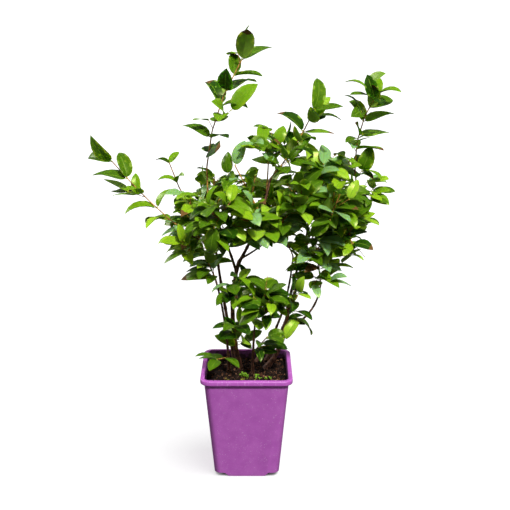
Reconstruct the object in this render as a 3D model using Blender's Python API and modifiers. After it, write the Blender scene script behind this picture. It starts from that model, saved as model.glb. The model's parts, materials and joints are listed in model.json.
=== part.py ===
"""Potted haskap berry shrub: a many-stemmed young shrub in a square plastic pot.

Metres, +Z up. The origin is under the middle of the pot, on the surface that it stands on,
and -Y is the shrub's front. Stems and boughs are tapered limbs. Each mass of leaves is one
solid: a stem, its twigs and its leaves in opposite pairs, grown by one seeded rule.
"""

import math
import random
from collections import namedtuple

import bmesh
import bpy
import numpy as np
from mathutils import Matrix, Vector

UP = Vector((0, 0, 1))
CLEARANCE = 0.0003  # the gap that touching pieces keep

# Pot: a tapered square with round corners, a thick rim and feet between cut-away corners
POT_HEIGHT = 0.178
RIM_WIDTH = 0.150
RIM_HEIGHT = 0.0085
RIM_OVERHANG = 0.0055
RIM_ROUND = 0.0022
BASE_WIDTH = 0.107
POT_CORNER = 0.011
CORNER_STEPS = 3
WALL = 0.0015
FLOOR = 0.002
CORNER_LIFT = 0.006  # how high the underside is at the corners
CORNER_INSIDE = 0.036  # where a lifted corner starts, out from the middle
LIFT_MIDDLE = 0.0575  # the middle of the cone that lifts a corner
DRAIN_RADIUS = 0.004
DRAIN_PLACE = 0.0425
PAST = 0.001  # how far a cutting block runs on past what it cuts

# Potting compost
SOIL_LEVEL = 0.1645
STEM_BURIED = 0.008  # how far a stem is drawn below the compost before it is cut level

# Limbs
LIMB_POINTS = 8
LIMB_ROUNDNESS = 1  # six sides
FLARE = 1.45  # how much wider a stem is where it meets the compost

# A mass's space and stem
STEM_POINTS = 5
STEM_RADIUS = 0.0016
STEM_TIP_RADIUS = 0.0011
STEM_SHARE = 0.9  # the most of its limb's own radius that a mass's stem has
SPACE_MARGIN = 0.035  # how much nearer its own stem than the next a leaf stays, in reaches
LEAF_CLEARANCE = 0.003  # from limbs, rim and compost
AIMS = 14  # how often a leaf or twig that does not fit is aimed anew

# Leaves
LEAF_WIDTH = 0.50  # of its length
LEAF_THICKNESS = 0.024
LEAF_SUNK = 0.0006
LEAF_SIZES = (0.82, 1.12)
LEAF_SPACING = 0.42  # between the middles of two leaves, as a share of their length
CROWN_MIDDLE = Vector((0.025, 0.015, 0.0))
LIGHT = Vector((0.1, -0.5, 0.85))  # where leaves turn their faces
OUTWARD = 0.7  # the most that they turn out of the crown as well
FACE_LOOSE = 0.6
DROOP = 0.3
HANG = 0.4  # how far a leaf that points down still does
PAIR_SWING = 0.7  # how far pairs turn to one side and the other, up a stem
PAIR_LOOSE = 0.35
FOOT_SPREAD = 72  # degrees between a stem and its lowest leaves
SPREAD_LOSS = 36  # how much less it is at the stem's tip
SPREAD_LOOSE = 14
LONE_SPREAD = 60  # of a leaf that grows where no twig fits
LEAF_SHRINK = 0.97  # at each new aim
LEAF_TURN = 0.9

# Twigs
TWIG_RADIUS = 0.0010
TWIG_TIP_RADIUS = 0.0008
TWIG_EVERY = 3  # pairs of buds
TWIG_FIRST = 1
TWIG_LENGTHS = (0.7, 1.15)
TWIG_SPREADS = (35, 65)  # degrees from the stem
TWIG_LIFT = (-0.1, 0.3)
TWIG_SHRINK = 0.88  # at each new aim
TWIG_TURN = 0.8
TWIG_LEAFY = 0.9  # the share of a twig that has leaves
TWIG_PAIR_LOOSE = 0.5
TWIG_TIP_SPREAD = 45
TWIG_PAIR_SPREAD = 20  # how much wider each next pair spreads, down a twig
BUD_LENGTH = 0.0015  # how far a twig runs on past its last pair of leaves
LEAF_STEP = 0.019  # between pairs on a twig

PURPLE = (0.36, 0.10, 0.37)
COMPOST = (0.035, 0.022, 0.014)
OLD_BARK = (0.09, 0.045, 0.028)
LEAF_GREEN = (0.085, 0.19, 0.035)

# A limb leaves its parent a share `at` along it, or the compost at the point `at`, and runs
# to its tip. Its middle is pushed out of the straight line by `bow`.
Limb = namedtuple("Limb", "name parent at tip bow thick thin")
LIMBS = (
    Limb("stem_left", None, (-0.013, 0.022), (-0.012, 0.000, 0.357),
         bow=(-0.011, 0.000, 0.010), thick=0.0042, thin=0.0030),
    Limb("stem_left_thin", None, (-0.030, 0.004), (-0.050, -0.030, 0.338),
         bow=(0.004, 0.004, 0.004), thick=0.0024, thin=0.0015),
    Limb("stem_centre", None, (0.010, -0.004), (0.014, -0.022, 0.262),
         bow=(-0.001, 0.000, 0.000), thick=0.0024, thin=0.0016),
    Limb("stem_right", None, (0.033, 0.020), (0.066, 0.011, 0.246),
         bow=(0.005, 0.000, -0.004), thick=0.0044, thin=0.0032),
    Limb("stem_right_thin", None, (0.016, 0.052), (0.078, 0.055, 0.352),
         bow=(0.011, 0.000, -0.013), thick=0.0024, thin=0.0014),
    Limb("stem_back_left", None, (-0.021, 0.050), (-0.060, 0.088, 0.400),
         bow=(-0.002, 0.008, 0.000), thick=0.0032, thin=0.0018),
    Limb("stem_back_right", None, (0.034, 0.056), (0.106, 0.104, 0.400),
         bow=(0.010, 0.006, -0.018), thick=0.0032, thin=0.0018),
    Limb("bough_left", "stem_left", 0.88, (-0.060, -0.028, 0.462),
         bow=(0.004, -0.002, -0.002), thick=0.0023, thin=0.0014),
    Limb("bough_far_left", "bough_left", 0.42, (-0.092, -0.030, 0.411),
         bow=(0.000, -0.002, -0.005), thick=0.0013, thin=0.0011),
    Limb("bough_centre", "stem_left", 1.0, (0.038, -0.018, 0.497),
         bow=(0.004, -0.002, -0.006), thick=0.0027, thin=0.0015),
    Limb("bough_low_centre", "bough_centre", 0.05, (0.034, -0.014, 0.396),
         bow=(0.000, 0.000, -0.002), thick=0.0017, thin=0.0012),
    Limb("bough_right_outer", "stem_right", 0.93, (0.122, 0.002, 0.318),
         bow=(0.010, -0.002, -0.011), thick=0.0021, thin=0.0014),
    Limb("bough_right", "stem_right", 1.0, (0.104, 0.030, 0.392),
         bow=(-0.006, 0.004, 0.000), thick=0.0026, thin=0.0015),
    Limb("bough_right_arm", "bough_right", 0.72, (0.176, 0.000, 0.475),
         bow=(0.006, -0.002, -0.020), thick=0.0019, thin=0.0013),
)

# A mass of leaves grows round a stem of its own, from its limb to its tip, and keeps within
# `reach` of that stem. The first `bare` of the stem has no leaves. `nodes` counts the pairs of
# buds on the rest. Where `twig` is given, every third pair grows twigs of about that length.
Mass = namedtuple(
    "Mass", "name limb at tip reach bare nodes leaf seed twig bow", defaults=(0.0, (0, 0, 0))
)
MASSES = (
    Mass("leaves_tall_shoot", "bough_left", 1.0, (-0.006, 0.000, 0.680), reach=0.062, bare=0.055,
         nodes=8, leaf=0.053, seed=25, bow=(-0.020, 0.002, 0.000)),
    Mass("leaves_left_shoot", "bough_far_left", 1.0, (-0.213, 0.000, 0.522), reach=0.060, bare=0.040,
         nodes=5, leaf=0.047, seed=2, bow=(0.002, 0.000, -0.009)),
    Mass("leaves_small_shoot", "stem_back_left", 0.93, (-0.127, 0.050, 0.512), reach=0.040, bare=0.060,
         nodes=4, leaf=0.032, seed=1, bow=(-0.004, -0.004, -0.012)),
    Mass("leaves_top_centre", "bough_centre", 1.0, (0.106, 0.000, 0.602), reach=0.060, bare=0.022,
         nodes=7, leaf=0.050, seed=23, bow=(0.003, 0.000, -0.004)),
    Mass("leaves_top_right", "bough_right_arm", 1.0, (0.202, 0.000, 0.626), reach=0.060, bare=0.020,
         nodes=7, leaf=0.048, seed=21, bow=(-0.014, 0.000, 0.004)),
    Mass("leaves_right_upper", "bough_right", 1.0, (0.122, -0.004, 0.518), reach=0.062, bare=0.035,
         nodes=7, leaf=0.050, seed=19, twig=0.032, bow=(0.006, 0.000, 0.000)),
    Mass("leaves_right_side", "bough_right_arm", 0.88, (0.182, -0.014, 0.476), reach=0.050, bare=0.010,
         nodes=4, leaf=0.046, seed=24, twig=0.024, bow=(0.000, 0.000, 0.002)),
    Mass("leaves_right_lower", "bough_right_arm", 0.5, (0.164, -0.032, 0.412), reach=0.050, bare=0.010,
         nodes=5, leaf=0.045, seed=13, twig=0.024, bow=(0.000, 0.000, -0.004)),
    Mass("leaves_right_low", "bough_right_outer", 1.0, (0.112, -0.022, 0.380), reach=0.058, bare=0.008,
         nodes=6, leaf=0.046, seed=19, twig=0.026),
    Mass("leaves_left_low", "bough_far_left", 0.6, (-0.096, -0.038, 0.398), reach=0.048, bare=0.008,
         nodes=5, leaf=0.046, seed=2, twig=0.024, bow=(0.000, 0.000, 0.004)),
    Mass("leaves_left_mid", "bough_left", 0.62, (-0.088, -0.030, 0.456), reach=0.058, bare=0.012,
         nodes=5, leaf=0.048, seed=2, twig=0.026, bow=(0.000, 0.000, 0.002)),
    Mass("leaves_left_hanging", "stem_left_thin", 1.0, (-0.060, -0.042, 0.366), reach=0.054, bare=0.006,
         nodes=3, leaf=0.046, seed=8),
    Mass("leaves_front_left", "bough_left", 0.82, (-0.040, -0.092, 0.450), reach=0.058, bare=0.020,
         nodes=5, leaf=0.048, seed=16, twig=0.026),
    Mass("leaves_centre_upper", "bough_centre", 0.84, (0.036, 0.004, 0.538), reach=0.060, bare=0.018,
         nodes=6, leaf=0.048, seed=1, twig=0.028),
    Mass("leaves_centre_left", "bough_centre", 0.62, (-0.018, -0.014, 0.518), reach=0.060, bare=0.020,
         nodes=6, leaf=0.048, seed=10, twig=0.028),
    Mass("leaves_centre", "bough_centre", 0.32, (0.002, -0.066, 0.448), reach=0.060, bare=0.015,
         nodes=6, leaf=0.050, seed=10, twig=0.028, bow=(0.000, 0.000, -0.004)),
    Mass("leaves_centre_right", "bough_low_centre", 1.0, (0.088, -0.052, 0.476), reach=0.062, bare=0.010,
         nodes=7, leaf=0.050, seed=18, twig=0.028),
    Mass("leaves_front_right", "bough_right", 0.86, (0.136, -0.064, 0.462), reach=0.060, bare=0.030,
         nodes=5, leaf=0.050, seed=14, twig=0.028),
    Mass("leaves_low_left", "stem_left", 0.62, (-0.022, -0.042, 0.316), reach=0.054, bare=0.012,
         nodes=4, leaf=0.042, seed=9, twig=0.024),
    Mass("leaves_low_centre", "stem_centre", 1.0, (0.030, -0.052, 0.318), reach=0.056, bare=0.008,
         nodes=6, leaf=0.042, seed=32, twig=0.026),
    Mass("leaves_low_right", "stem_right", 0.86, (0.076, -0.036, 0.318), reach=0.044, bare=0.026,
         nodes=4, leaf=0.040, seed=23, twig=0.018),
    Mass("leaves_foot_left", "stem_left", 0.14, (-0.018, -0.044, 0.262), reach=0.050, bare=0.016,
         nodes=4, leaf=0.044, seed=9, twig=0.014),
    Mass("leaves_rim_left", "stem_left_thin", 0.14, (-0.048, -0.030, 0.199), reach=0.050, bare=0.012,
         nodes=2, leaf=0.046, seed=29),
    Mass("leaves_foot_right", "stem_centre", 0.4, (0.034, -0.034, 0.240), reach=0.046, bare=0.012,
         nodes=3, leaf=0.042, seed=37),
    Mass("leaves_back_left", "stem_back_left", 1.0, (-0.056, 0.082, 0.462), reach=0.056, bare=0.008,
         nodes=5, leaf=0.048, seed=20, twig=0.028),
    Mass("leaves_back_left_low", "stem_back_left", 0.72, (-0.096, 0.106, 0.390), reach=0.056, bare=0.015,
         nodes=5, leaf=0.048, seed=1, twig=0.026),
    Mass("leaves_back_centre", "stem_right_thin", 1.0, (0.030, 0.080, 0.466), reach=0.062, bare=0.012,
         nodes=6, leaf=0.048, seed=18, twig=0.030),
    Mass("leaves_back_right", "stem_back_right", 1.0, (0.130, 0.076, 0.482), reach=0.060, bare=0.010,
         nodes=6, leaf=0.048, seed=14, twig=0.030),
    Mass("leaves_back_right_low", "stem_back_right", 0.75, (0.166, 0.092, 0.400), reach=0.056, bare=0.015,
         nodes=5, leaf=0.046, seed=5, twig=0.026),
)

# Where the photograph shows sky between the leaves: x, z and radius on the plane y = 0, as its
# eye sees it. No leaf or twig grows across such a place.
EYE = np.array((0.0138, -1.415, 0.74))
OPENINGS = {
    "beside the left shoot": (-0.155, 0.510, 0.020),
    "below the left shoot": (-0.130, 0.440, 0.010),
    "below the small shoot": (-0.090, 0.485, 0.015),
    "beside the small shoot": (-0.085, 0.515, 0.012),
    "beside the tall shoot": (-0.065, 0.600, 0.010),
    "at the foot of the tall shoot": (-0.045, 0.510, 0.010),
    "right of the tall shoot": (-0.010, 0.580, 0.020),
    "over the centre": (-0.010, 0.510, 0.012),
    "in the centre": (0.030, 0.505, 0.012),
    "below the top centre": (0.040, 0.595, 0.015),
    "between the top shoots": (0.140, 0.550, 0.015),
    "below the top right": (0.160, 0.575, 0.010),
    "left of the main fork": (-0.035, 0.335, 0.013),
    "right of the main fork": (0.025, 0.350, 0.015),
    "under the middle": (0.055, 0.355, 0.020),
    "over the low right leaves": (0.065, 0.320, 0.010),
    "right of the stems' feet": (0.055, 0.255, 0.012),
    "inside the right stems": (0.090, 0.285, 0.010),
}
OPEN_CENTRES = np.array(list(OPENINGS.values()))[:, :2]
OPEN_RADII = np.array(list(OPENINGS.values()))[:, 2]


def bent(start, tip, bow, count):
    """Points along a line from start to tip, with its middle pushed out by bow."""
    control = (start + tip) / 2 + 2 * bow
    points = []
    for step in range(count):
        t = step / (count - 1)
        points.append(start * (1 - t) ** 2 + control * 2 * t * (1 - t) + tip * t * t)
    return points


def along(points, share):
    """The place and heading a share of the way along a line of points."""
    spot = share * (len(points) - 1)
    first = min(int(spot), len(points) - 2)
    rest = spot - first
    before, after = points[first], points[first + 1]
    return before.lerp(after, rest), (after - before).normalized()


def line_length(points):
    return sum((after - before).length for before, after in zip(points, points[1:]))


def limb_lines():
    """Each limb's line of points, by name."""
    lines = {}
    for limb in LIMBS:
        if limb.parent is None:
            start = Vector((*limb.at, SOIL_LEVEL + CLEARANCE))
        else:
            start = along(lines[limb.parent], limb.at)[0]
        lines[limb.name] = bent(start, Vector(limb.tip), Vector(limb.bow), LIMB_POINTS)
    return lines


def taper(thick, thin, count):
    """Evenly spaced radii from thick to thin."""
    return [thick + (thin - thick) * step / (count - 1) for step in range(count)]


def limb_radii(limb):
    """A limb's radius at each of its points: an even taper, and a flare at the compost."""
    radii = taper(limb.thick, limb.thin, LIMB_POINTS)
    if limb.parent is None:
        radii[0] *= FLARE
    return radii


class Lines:
    """Straight pieces of many lines, which tell how far a set of points is from each line."""

    def __init__(self, lines):
        self.starts = np.array([a for line in lines for a in line[:-1]])
        ends = np.array([b for line in lines for b in line[1:]])
        self.runs = ends - self.starts
        self.lengths = (self.runs**2).sum(axis=1)
        counts = [len(line) - 1 for line in lines]
        self.firsts = np.concatenate([[0], np.cumsum(counts)[:-1]])

    def distances(self, points):
        """A row for each point and a column for each line."""
        offsets = points[:, None, :] - self.starts[None]
        shares = np.clip((offsets * self.runs).sum(axis=2) / self.lengths, 0, 1)
        nearest = np.linalg.norm(offsets - shares[..., None] * self.runs, axis=2)
        return np.minimum.reduceat(nearest, self.firsts, axis=1)


class Garden:
    """The space of each mass, and the limbs that its leaves keep off."""

    def __init__(self):
        self.limb_lines = limb_lines()
        self.limbs = Lines(list(self.limb_lines.values()))
        self.limb_sizes = np.array([max(limb_radii(limb)[1:]) for limb in LIMBS])
        self.stems = {}
        for mass in MASSES:
            start = along(self.limb_lines[mass.limb], mass.at)[0]
            self.stems[mass.name] = bent(start, Vector(mass.tip), Vector(mass.bow), STEM_POINTS)
        self.spaces = Lines(list(self.stems.values()))
        self.reaches = np.array([mass.reach for mass in MASSES])

    def holds(self, index, points, spare):
        """Whether all the points lie in a mass's own space, off every limb, rim and compost."""
        points = np.array(points)
        shares = self.spaces.distances(points) / self.reaches
        own = shares[:, index].copy()
        shares[:, index] = np.inf
        if (own > 1).any() or (own + SPACE_MARGIN > shares.min(axis=1)).any():
            return False
        if (self.limbs.distances(points) < self.limb_sizes + spare).any():
            return False
        across = np.abs(points[:, :2]).max(axis=1)
        over_pot = across < RIM_WIDTH / 2 + spare
        over_compost = across < RIM_WIDTH / 2 - 2 * RIM_OVERHANG - spare
        floor = np.where(over_compost, SOIL_LEVEL, np.where(over_pot, POT_HEIGHT, 0.0))
        if (points[:, 2] < floor + spare).any():
            return False
        rays = points - EYE
        seen = (EYE - rays * (EYE[1] / rays[:, 1:2]))[:, None, ::2]
        return bool((np.linalg.norm(seen - OPEN_CENTRES, axis=2) > OPEN_RADII).all())


Leaf = namedtuple("Leaf", "root along face length")
Twig = namedtuple("Twig", "root tip")


def crosswise(heading, angle):
    """A direction at right angles to heading, turned round it by angle."""
    level = heading.cross(UP)
    if level.length < 0.05:
        level = Vector((1, 0, 0))
    return Matrix.Rotation(angle, 3, heading) @ level.normalized()


def leaf_points(leaf):
    """Points spread over a leaf, which all have to fit its space."""
    across = leaf.face.cross(leaf.along) * leaf.length * LEAF_WIDTH / 2
    points = [leaf.root + leaf.along * leaf.length * step / 6 for step in range(1, 7)]
    for share in (0.25, 0.5, 0.75):
        middle = leaf.root + leaf.along * leaf.length * share
        points += [middle + across * way for way in (-1, -0.5, 0.5, 1)]
    return points


def aimed_leaf(root, heading, side, spread, length, rng):
    """A leaf on one side of a twig, its face turned to the light and out of the crown."""
    spread = math.radians(spread + rng.uniform(-SPREAD_LOOSE, SPREAD_LOOSE))
    aim = heading * math.cos(spread) + side * math.sin(spread)
    aim.z -= rng.uniform(0.0, DROOP)
    if aim.z < 0:
        aim.z *= HANG
    aim.normalize()
    outward = root - CROWN_MIDDLE
    outward.z = 0
    loose = Vector([rng.uniform(-1, 1) for _ in range(3)])
    face = LIGHT + outward.normalized() * rng.uniform(0.0, OUTWARD) + loose * FACE_LOOSE
    face -= aim * face.dot(aim)
    return Leaf(root, aim, face.normalized(), length)


def crowded(leaf, others):
    """Whether a leaf lies on another of its mass."""
    middle = leaf.root + leaf.along * leaf.length / 2
    for other in others:
        near = (other.root + other.along * other.length / 2 - middle).length
        if near < LEAF_SPACING * (leaf.length + other.length) / 2:
            return True
    return False


def grow_leaf(garden, index, root, heading, side, spread, length, rng, others):
    """Adds a leaf that fits its mass's space, if one of a few aims gives such a leaf."""
    for _ in range(AIMS):
        leaf = aimed_leaf(root, heading, side, spread, length, rng)
        if garden.holds(index, leaf_points(leaf), LEAF_CLEARANCE) and not crowded(leaf, others):
            others.append(leaf)
            return
        length *= LEAF_SHRINK
        side = Matrix.Rotation(rng.uniform(-LEAF_TURN, LEAF_TURN), 3, heading) @ side


def grow_twig(garden, index, root, heading, side, length, rng):
    """A straight twig that fits its mass's space, or None."""
    for _ in range(AIMS):
        spread = math.radians(rng.uniform(*TWIG_SPREADS))
        aim = heading * math.cos(spread) + side * math.sin(spread)
        aim.z += rng.uniform(*TWIG_LIFT)
        tip = root + aim.normalized() * length
        outer = [root.lerp(tip, share) for share in (0.2, 0.4, 0.6, 0.8, 1.0)]
        if garden.holds(index, outer, LEAF_CLEARANCE):
            return Twig(root, tip)
        length *= TWIG_SHRINK
        side = Matrix.Rotation(rng.uniform(-TWIG_TURN, TWIG_TURN), 3, heading) @ side
    return None


def grow_pair(garden, index, root, heading, turn, spread, length, rng, leaves):
    """Adds an opposite pair of leaves."""
    for way in (1, -1):
        side = crosswise(heading, turn) * way
        size = length * rng.uniform(*LEAF_SIZES)
        grow_leaf(garden, index, root, heading, side, spread, size, rng, leaves)


def grow_mass(garden, index):
    """The twigs and leaves of one mass, from pairs of buds up its stem."""
    mass = MASSES[index]
    rng = random.Random(mass.seed)
    stem = garden.stems[mass.name]
    first = mass.bare / line_length(stem)
    last = 1 - BUD_LENGTH / line_length(stem)
    twigs, leaves = [], []
    for node in range(mass.nodes):
        height = node / (mass.nodes - 1)
        root, heading = along(stem, first + (last - first) * height)
        turn = math.pi / 2 + (PAIR_SWING if node % 2 else -PAIR_SWING)
        turn += rng.uniform(-PAIR_LOOSE, PAIR_LOOSE)
        if mass.twig == 0 or node % TWIG_EVERY != TWIG_FIRST:
            spread = FOOT_SPREAD - SPREAD_LOSS * height
            grow_pair(garden, index, root, heading, turn, spread, mass.leaf, rng, leaves)
            continue
        for way in (1, -1):
            side = crosswise(heading, turn) * way
            length = mass.twig * rng.uniform(*TWIG_LENGTHS)
            twig = grow_twig(garden, index, root, heading, side, length, rng)
            if twig is None:
                grow_leaf(garden, index, root, heading, side, LONE_SPREAD, mass.leaf, rng, leaves)
                continue
            bare = len(leaves)
            grow_twig_leaves(garden, index, twig, mass.leaf, rng, leaves)
            if len(leaves) > bare:
                twigs.append(twig)
    return twigs, leaves


def grow_twig_leaves(garden, index, twig, size, rng, leaves):
    """Adds opposite pairs up a twig, the first of them at its tip."""
    run = twig.tip - twig.root
    heading = run.normalized()
    pairs = max(1, round(run.length / LEAF_STEP))
    for pair in range(pairs):
        root = twig.tip - heading * BUD_LENGTH - run * TWIG_LEAFY * pair / pairs
        turn = (0.0 if pair % 2 else math.pi / 2) + rng.uniform(-TWIG_PAIR_LOOSE, TWIG_PAIR_LOOSE)
        spread = TWIG_TIP_SPREAD + TWIG_PAIR_SPREAD * pair
        grow_pair(garden, index, root, heading, turn, spread, size, rng, leaves)


def new_material(name, colour, roughness):
    """A plain finish in one colour."""
    material = bpy.data.materials.new(name)
    material.use_nodes = True
    shader = material.node_tree.nodes["Principled BSDF"]
    shader.inputs["Base Color"].default_value = (*colour, 1)
    shader.inputs["Roughness"].default_value = roughness
    shader.inputs["Metallic"].default_value = 0
    material.diffuse_color = (*colour, 1)
    return material


def new_object(name, mesh, collection, material=None):
    """An object in a collection, with its finish."""
    item = bpy.data.objects.new(name, mesh)
    collection.objects.link(item)
    if material:
        mesh.materials.clear()
        mesh.materials.append(material)
    return item


def new_collection(name):
    collection = bpy.data.collections.new(name)
    bpy.context.scene.collection.children.link(collection)
    return collection


def mesh_from(bm, name):
    mesh = bpy.data.meshes.new(name)
    bm.to_mesh(mesh)
    bm.free()
    return mesh


def settled(item):
    """Applies an object's modifiers."""
    evaluated = item.evaluated_get(bpy.context.evaluated_depsgraph_get())
    mesh = bpy.data.meshes.new_from_object(evaluated)
    item.modifiers.clear()
    item.data = mesh
    return item


def boolean(item, tool, operation):
    """Cuts an object with another, or joins them, and removes the other."""
    modifier = item.modifiers.new(operation.lower(), "BOOLEAN")
    modifier.operation = operation
    modifier.object = tool
    settled(item)
    bpy.data.objects.remove(tool)
    return item


def keep_body(mesh):
    """Keeps a mesh's largest body: loose scraps go, and sealed hollows are filled."""
    bm = bmesh.new()
    bm.from_mesh(mesh)
    unseen = set(bm.verts)
    bodies = []
    while unseen:
        queue = [unseen.pop()]
        body = []
        while queue:
            vert = queue.pop()
            body.append(vert)
            near = {edge.other_vert(vert) for edge in vert.link_edges} & unseen
            unseen -= near
            queue += near
        bodies.append(body)
    bodies.sort(key=len)
    for body in bodies[:-1]:
        bmesh.ops.delete(bm, geom=body, context="VERTS")
    bm.to_mesh(mesh)
    bm.free()


def tube(name, points, radii, roundness, collection, material=None):
    """A tapered limb along a line of points, as a mesh with closed ends."""
    curve = bpy.data.curves.new(name, "CURVE")
    curve.dimensions = "3D"
    curve.bevel_depth = 1.0
    curve.bevel_resolution = roundness
    curve.use_fill_caps = True
    spline = curve.splines.new("POLY")
    spline.points.add(len(points) - 1)
    for spot, point, radius in zip(spline.points, points, radii):
        spot.co = (*point, 1)
        spot.radius = radius
    guide = new_object(name + "_line", curve, collection)
    evaluated = guide.evaluated_get(bpy.context.evaluated_depsgraph_get())
    mesh = bpy.data.meshes.new_from_object(evaluated)
    item = new_object(name, mesh, collection, material)
    item.matrix_world = guide.matrix_world
    bpy.data.objects.remove(guide)
    weld(mesh)
    return item


def weld(mesh):
    """Joins the points that a curve leaves loose at its ends."""
    bm = bmesh.new()
    bm.from_mesh(mesh)
    bmesh.ops.remove_doubles(bm, verts=bm.verts, dist=0.00001)
    bmesh.ops.recalc_face_normals(bm, faces=bm.faces)
    bm.to_mesh(mesh)
    bm.free()


def grown(points, radii):
    """A line and its radii, larger all round by the clearance."""
    first = points[0] + (points[0] - points[1]).normalized() * CLEARANCE
    last = points[-1] + (points[-1] - points[-2]).normalized() * CLEARANCE
    return [first, *points[1:-1], last], [radius + CLEARANCE for radius in radii]


def seat_on(item, limb, garden, cutters):
    """Cuts an object's foot to the side of the limb that carries it, with the clearance."""
    points, radii = grown(garden.limb_lines[limb.name], limb_radii(limb))
    parent = tube("seat", points, radii, LIMB_ROUNDNESS, cutters)
    return boolean(item, parent, "DIFFERENCE")


def build_limb(limb, garden, shrub, cutters, material):
    """A stem or a bough: a tapering limb, cut to what it grows from."""
    points = garden.limb_lines[limb.name]
    radii = limb_radii(limb)
    if limb.parent is None:
        below = points[0] - (points[1] - points[0]).normalized() * STEM_BURIED
        item = tube(limb.name, [below, *points], [radii[0], *radii], LIMB_ROUNDNESS, shrub, material)
        half = RIM_WIDTH / 2
        ground = block("ground", half, half, 0, SOIL_LEVEL + CLEARANCE, POT_CORNER, cutters)
        boolean(item, ground, "DIFFERENCE")
    else:
        item = tube(limb.name, points, radii, LIMB_ROUNDNESS, shrub, material)
        parent = next(other for other in LIMBS if other.name == limb.parent)
        seat_on(item, parent, garden, cutters)
        keep_body(item.data)
    item.data.shade_smooth()
    item.data.set_sharp_from_angle(angle=math.radians(50))
    return item


def blade_mesh():
    """A flat six-sided leaf, one unit long, wide and thick each way from its middle."""
    bm = bmesh.new()
    turn = Matrix.Rotation(math.pi / 6, 4, "Z")
    bmesh.ops.create_uvsphere(bm, u_segments=6, v_segments=2, radius=1, matrix=turn)
    return mesh_from(bm, "blade")


def shoot_mesh():
    """A three-sided twig, one unit long, from its root at the origin up +Z."""
    bm = bmesh.new()
    bmesh.ops.create_cone(
        bm, segments=3, radius1=TWIG_RADIUS, radius2=TWIG_TIP_RADIUS, depth=1, cap_ends=True
    )
    bmesh.ops.translate(bm, verts=bm.verts, vec=(0, 0, 0.5))
    return mesh_from(bm, "shoot")


def blade_matrix(leaf):
    """Where the unit leaf goes, with its root sunk in the twig."""
    length = leaf.length + LEAF_SUNK
    middle = leaf.root + leaf.along * (leaf.length - LEAF_SUNK) / 2
    axes = (
        leaf.along * length / 2,
        leaf.face.cross(leaf.along) * length * LEAF_WIDTH / 2,
        leaf.face * length * LEAF_THICKNESS / 2,
    )
    return Matrix([(*row, place) for row, place in zip(zip(*axes), middle)] + [(0, 0, 0, 1)])


def twig_matrix(twig):
    """Where the unit twig goes."""
    run = twig.tip - twig.root
    turn = run.to_track_quat("Z", "Y").to_matrix().to_4x4()
    return Matrix.Translation(twig.root) @ turn @ Matrix.Diagonal((1, 1, run.length, 1))


def build_mass(index, garden, shrub, cutters, blade, shoot, material):
    """One mass of leaves: its stem, twigs and leaves, joined to one solid."""
    mass = MASSES[index]
    stem = garden.stems[mass.name]
    limb = next(limb for limb in LIMBS if limb.name == mass.limb)
    thick = min(STEM_RADIUS, STEM_SHARE * limb.thin)
    radii = taper(thick, STEM_TIP_RADIUS, STEM_POINTS)
    item = tube(mass.name, stem, radii, 0, shrub, material)
    seat_on(item, limb, garden, cutters)
    keep_body(item.data)
    twigs, leaves = grow_mass(garden, index)
    pieces = new_collection(mass.name + "_pieces")
    for number, leaf in enumerate(leaves):
        new_object(f"leaf_{number}", blade, pieces).matrix_world = blade_matrix(leaf)
    for number, twig in enumerate(twigs):
        new_object(f"twig_{number}", shoot, pieces).matrix_world = twig_matrix(twig)
    union = item.modifiers.new("join", "BOOLEAN")
    union.operation = "UNION"
    union.operand_type = "COLLECTION"
    union.collection = pieces
    bpy.context.view_layer.update()
    settled(item)
    for piece in list(pieces.objects):
        bpy.data.objects.remove(piece)
    bpy.data.collections.remove(pieces)
    keep_body(item.data)
    return item


def block(name, low, high, bottom, top, corner, collection, material=None):
    """A square block with round upright corners, tapered between two half widths and heights."""
    bm = bmesh.new()
    bmesh.ops.create_cube(bm, size=2)
    for vert in bm.verts:
        half, height = (high, top) if vert.co.z > 0 else (low, bottom)
        vert.co = (vert.co.x * half, vert.co.y * half, height)
    upright = [edge for edge in bm.edges if edge.verts[0].co.z != edge.verts[1].co.z]
    bmesh.ops.bevel(
        bm, geom=upright, offset=corner, segments=CORNER_STEPS, profile=0.5, affect="EDGES"
    )
    return new_object(name, mesh_from(bm, name), collection, material)


def wall_half_width(height):
    """Half the pot's outer width at a height, under its rim."""
    under_rim = RIM_WIDTH / 2 - RIM_OVERHANG
    return BASE_WIDTH / 2 + (under_rim - BASE_WIDTH / 2) * height / POT_HEIGHT


def pot_filling(name, spare, floor, top, collection, material=None):
    """The block inside the pot's walls, kept off them by `spare`."""
    low = wall_half_width(floor) - WALL - spare
    high = wall_half_width(top) - WALL - spare
    return block(name, low, high, floor, top, POT_CORNER - WALL, collection, material)


def corner_lifts(grow, cutters):
    """The four sloping spaces under the pot's lifted corners, larger all round by `grow`."""
    top = CORNER_LIFT + grow
    bottom = -PAST
    narrow = LIFT_MIDDLE - CORNER_INSIDE + grow
    wide = narrow + top - bottom
    bm = bmesh.new()
    for way_x in (-1, 1):
        for way_y in (-1, 1):
            place = Vector((way_x * LIFT_MIDDLE, way_y * LIFT_MIDDLE, (top + bottom) / 2))
            bmesh.ops.create_cone(
                bm,
                segments=4,
                radius1=wide * math.sqrt(2),
                radius2=narrow * math.sqrt(2),
                depth=top - bottom,
                cap_ends=True,
                matrix=Matrix.Translation(place) @ Matrix.Rotation(math.pi / 4, 4, "Z"),
            )
    return new_object("corner_lifts", mesh_from(bm, "corner_lifts"), cutters)


def drain_holes(cutters):
    """A round hole through each lifted corner of the floor."""
    bm = bmesh.new()
    for way_x in (-1, 1):
        for way_y in (-1, 1):
            place = Matrix.Translation((way_x * DRAIN_PLACE, way_y * DRAIN_PLACE, CORNER_LIFT))
            bmesh.ops.create_cone(
                bm,
                segments=8,
                radius1=DRAIN_RADIUS,
                radius2=DRAIN_RADIUS,
                depth=4 * FLOOR,
                cap_ends=True,
                matrix=place,
            )
    return new_object("drain_holes", mesh_from(bm, "drain_holes"), cutters)


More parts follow.
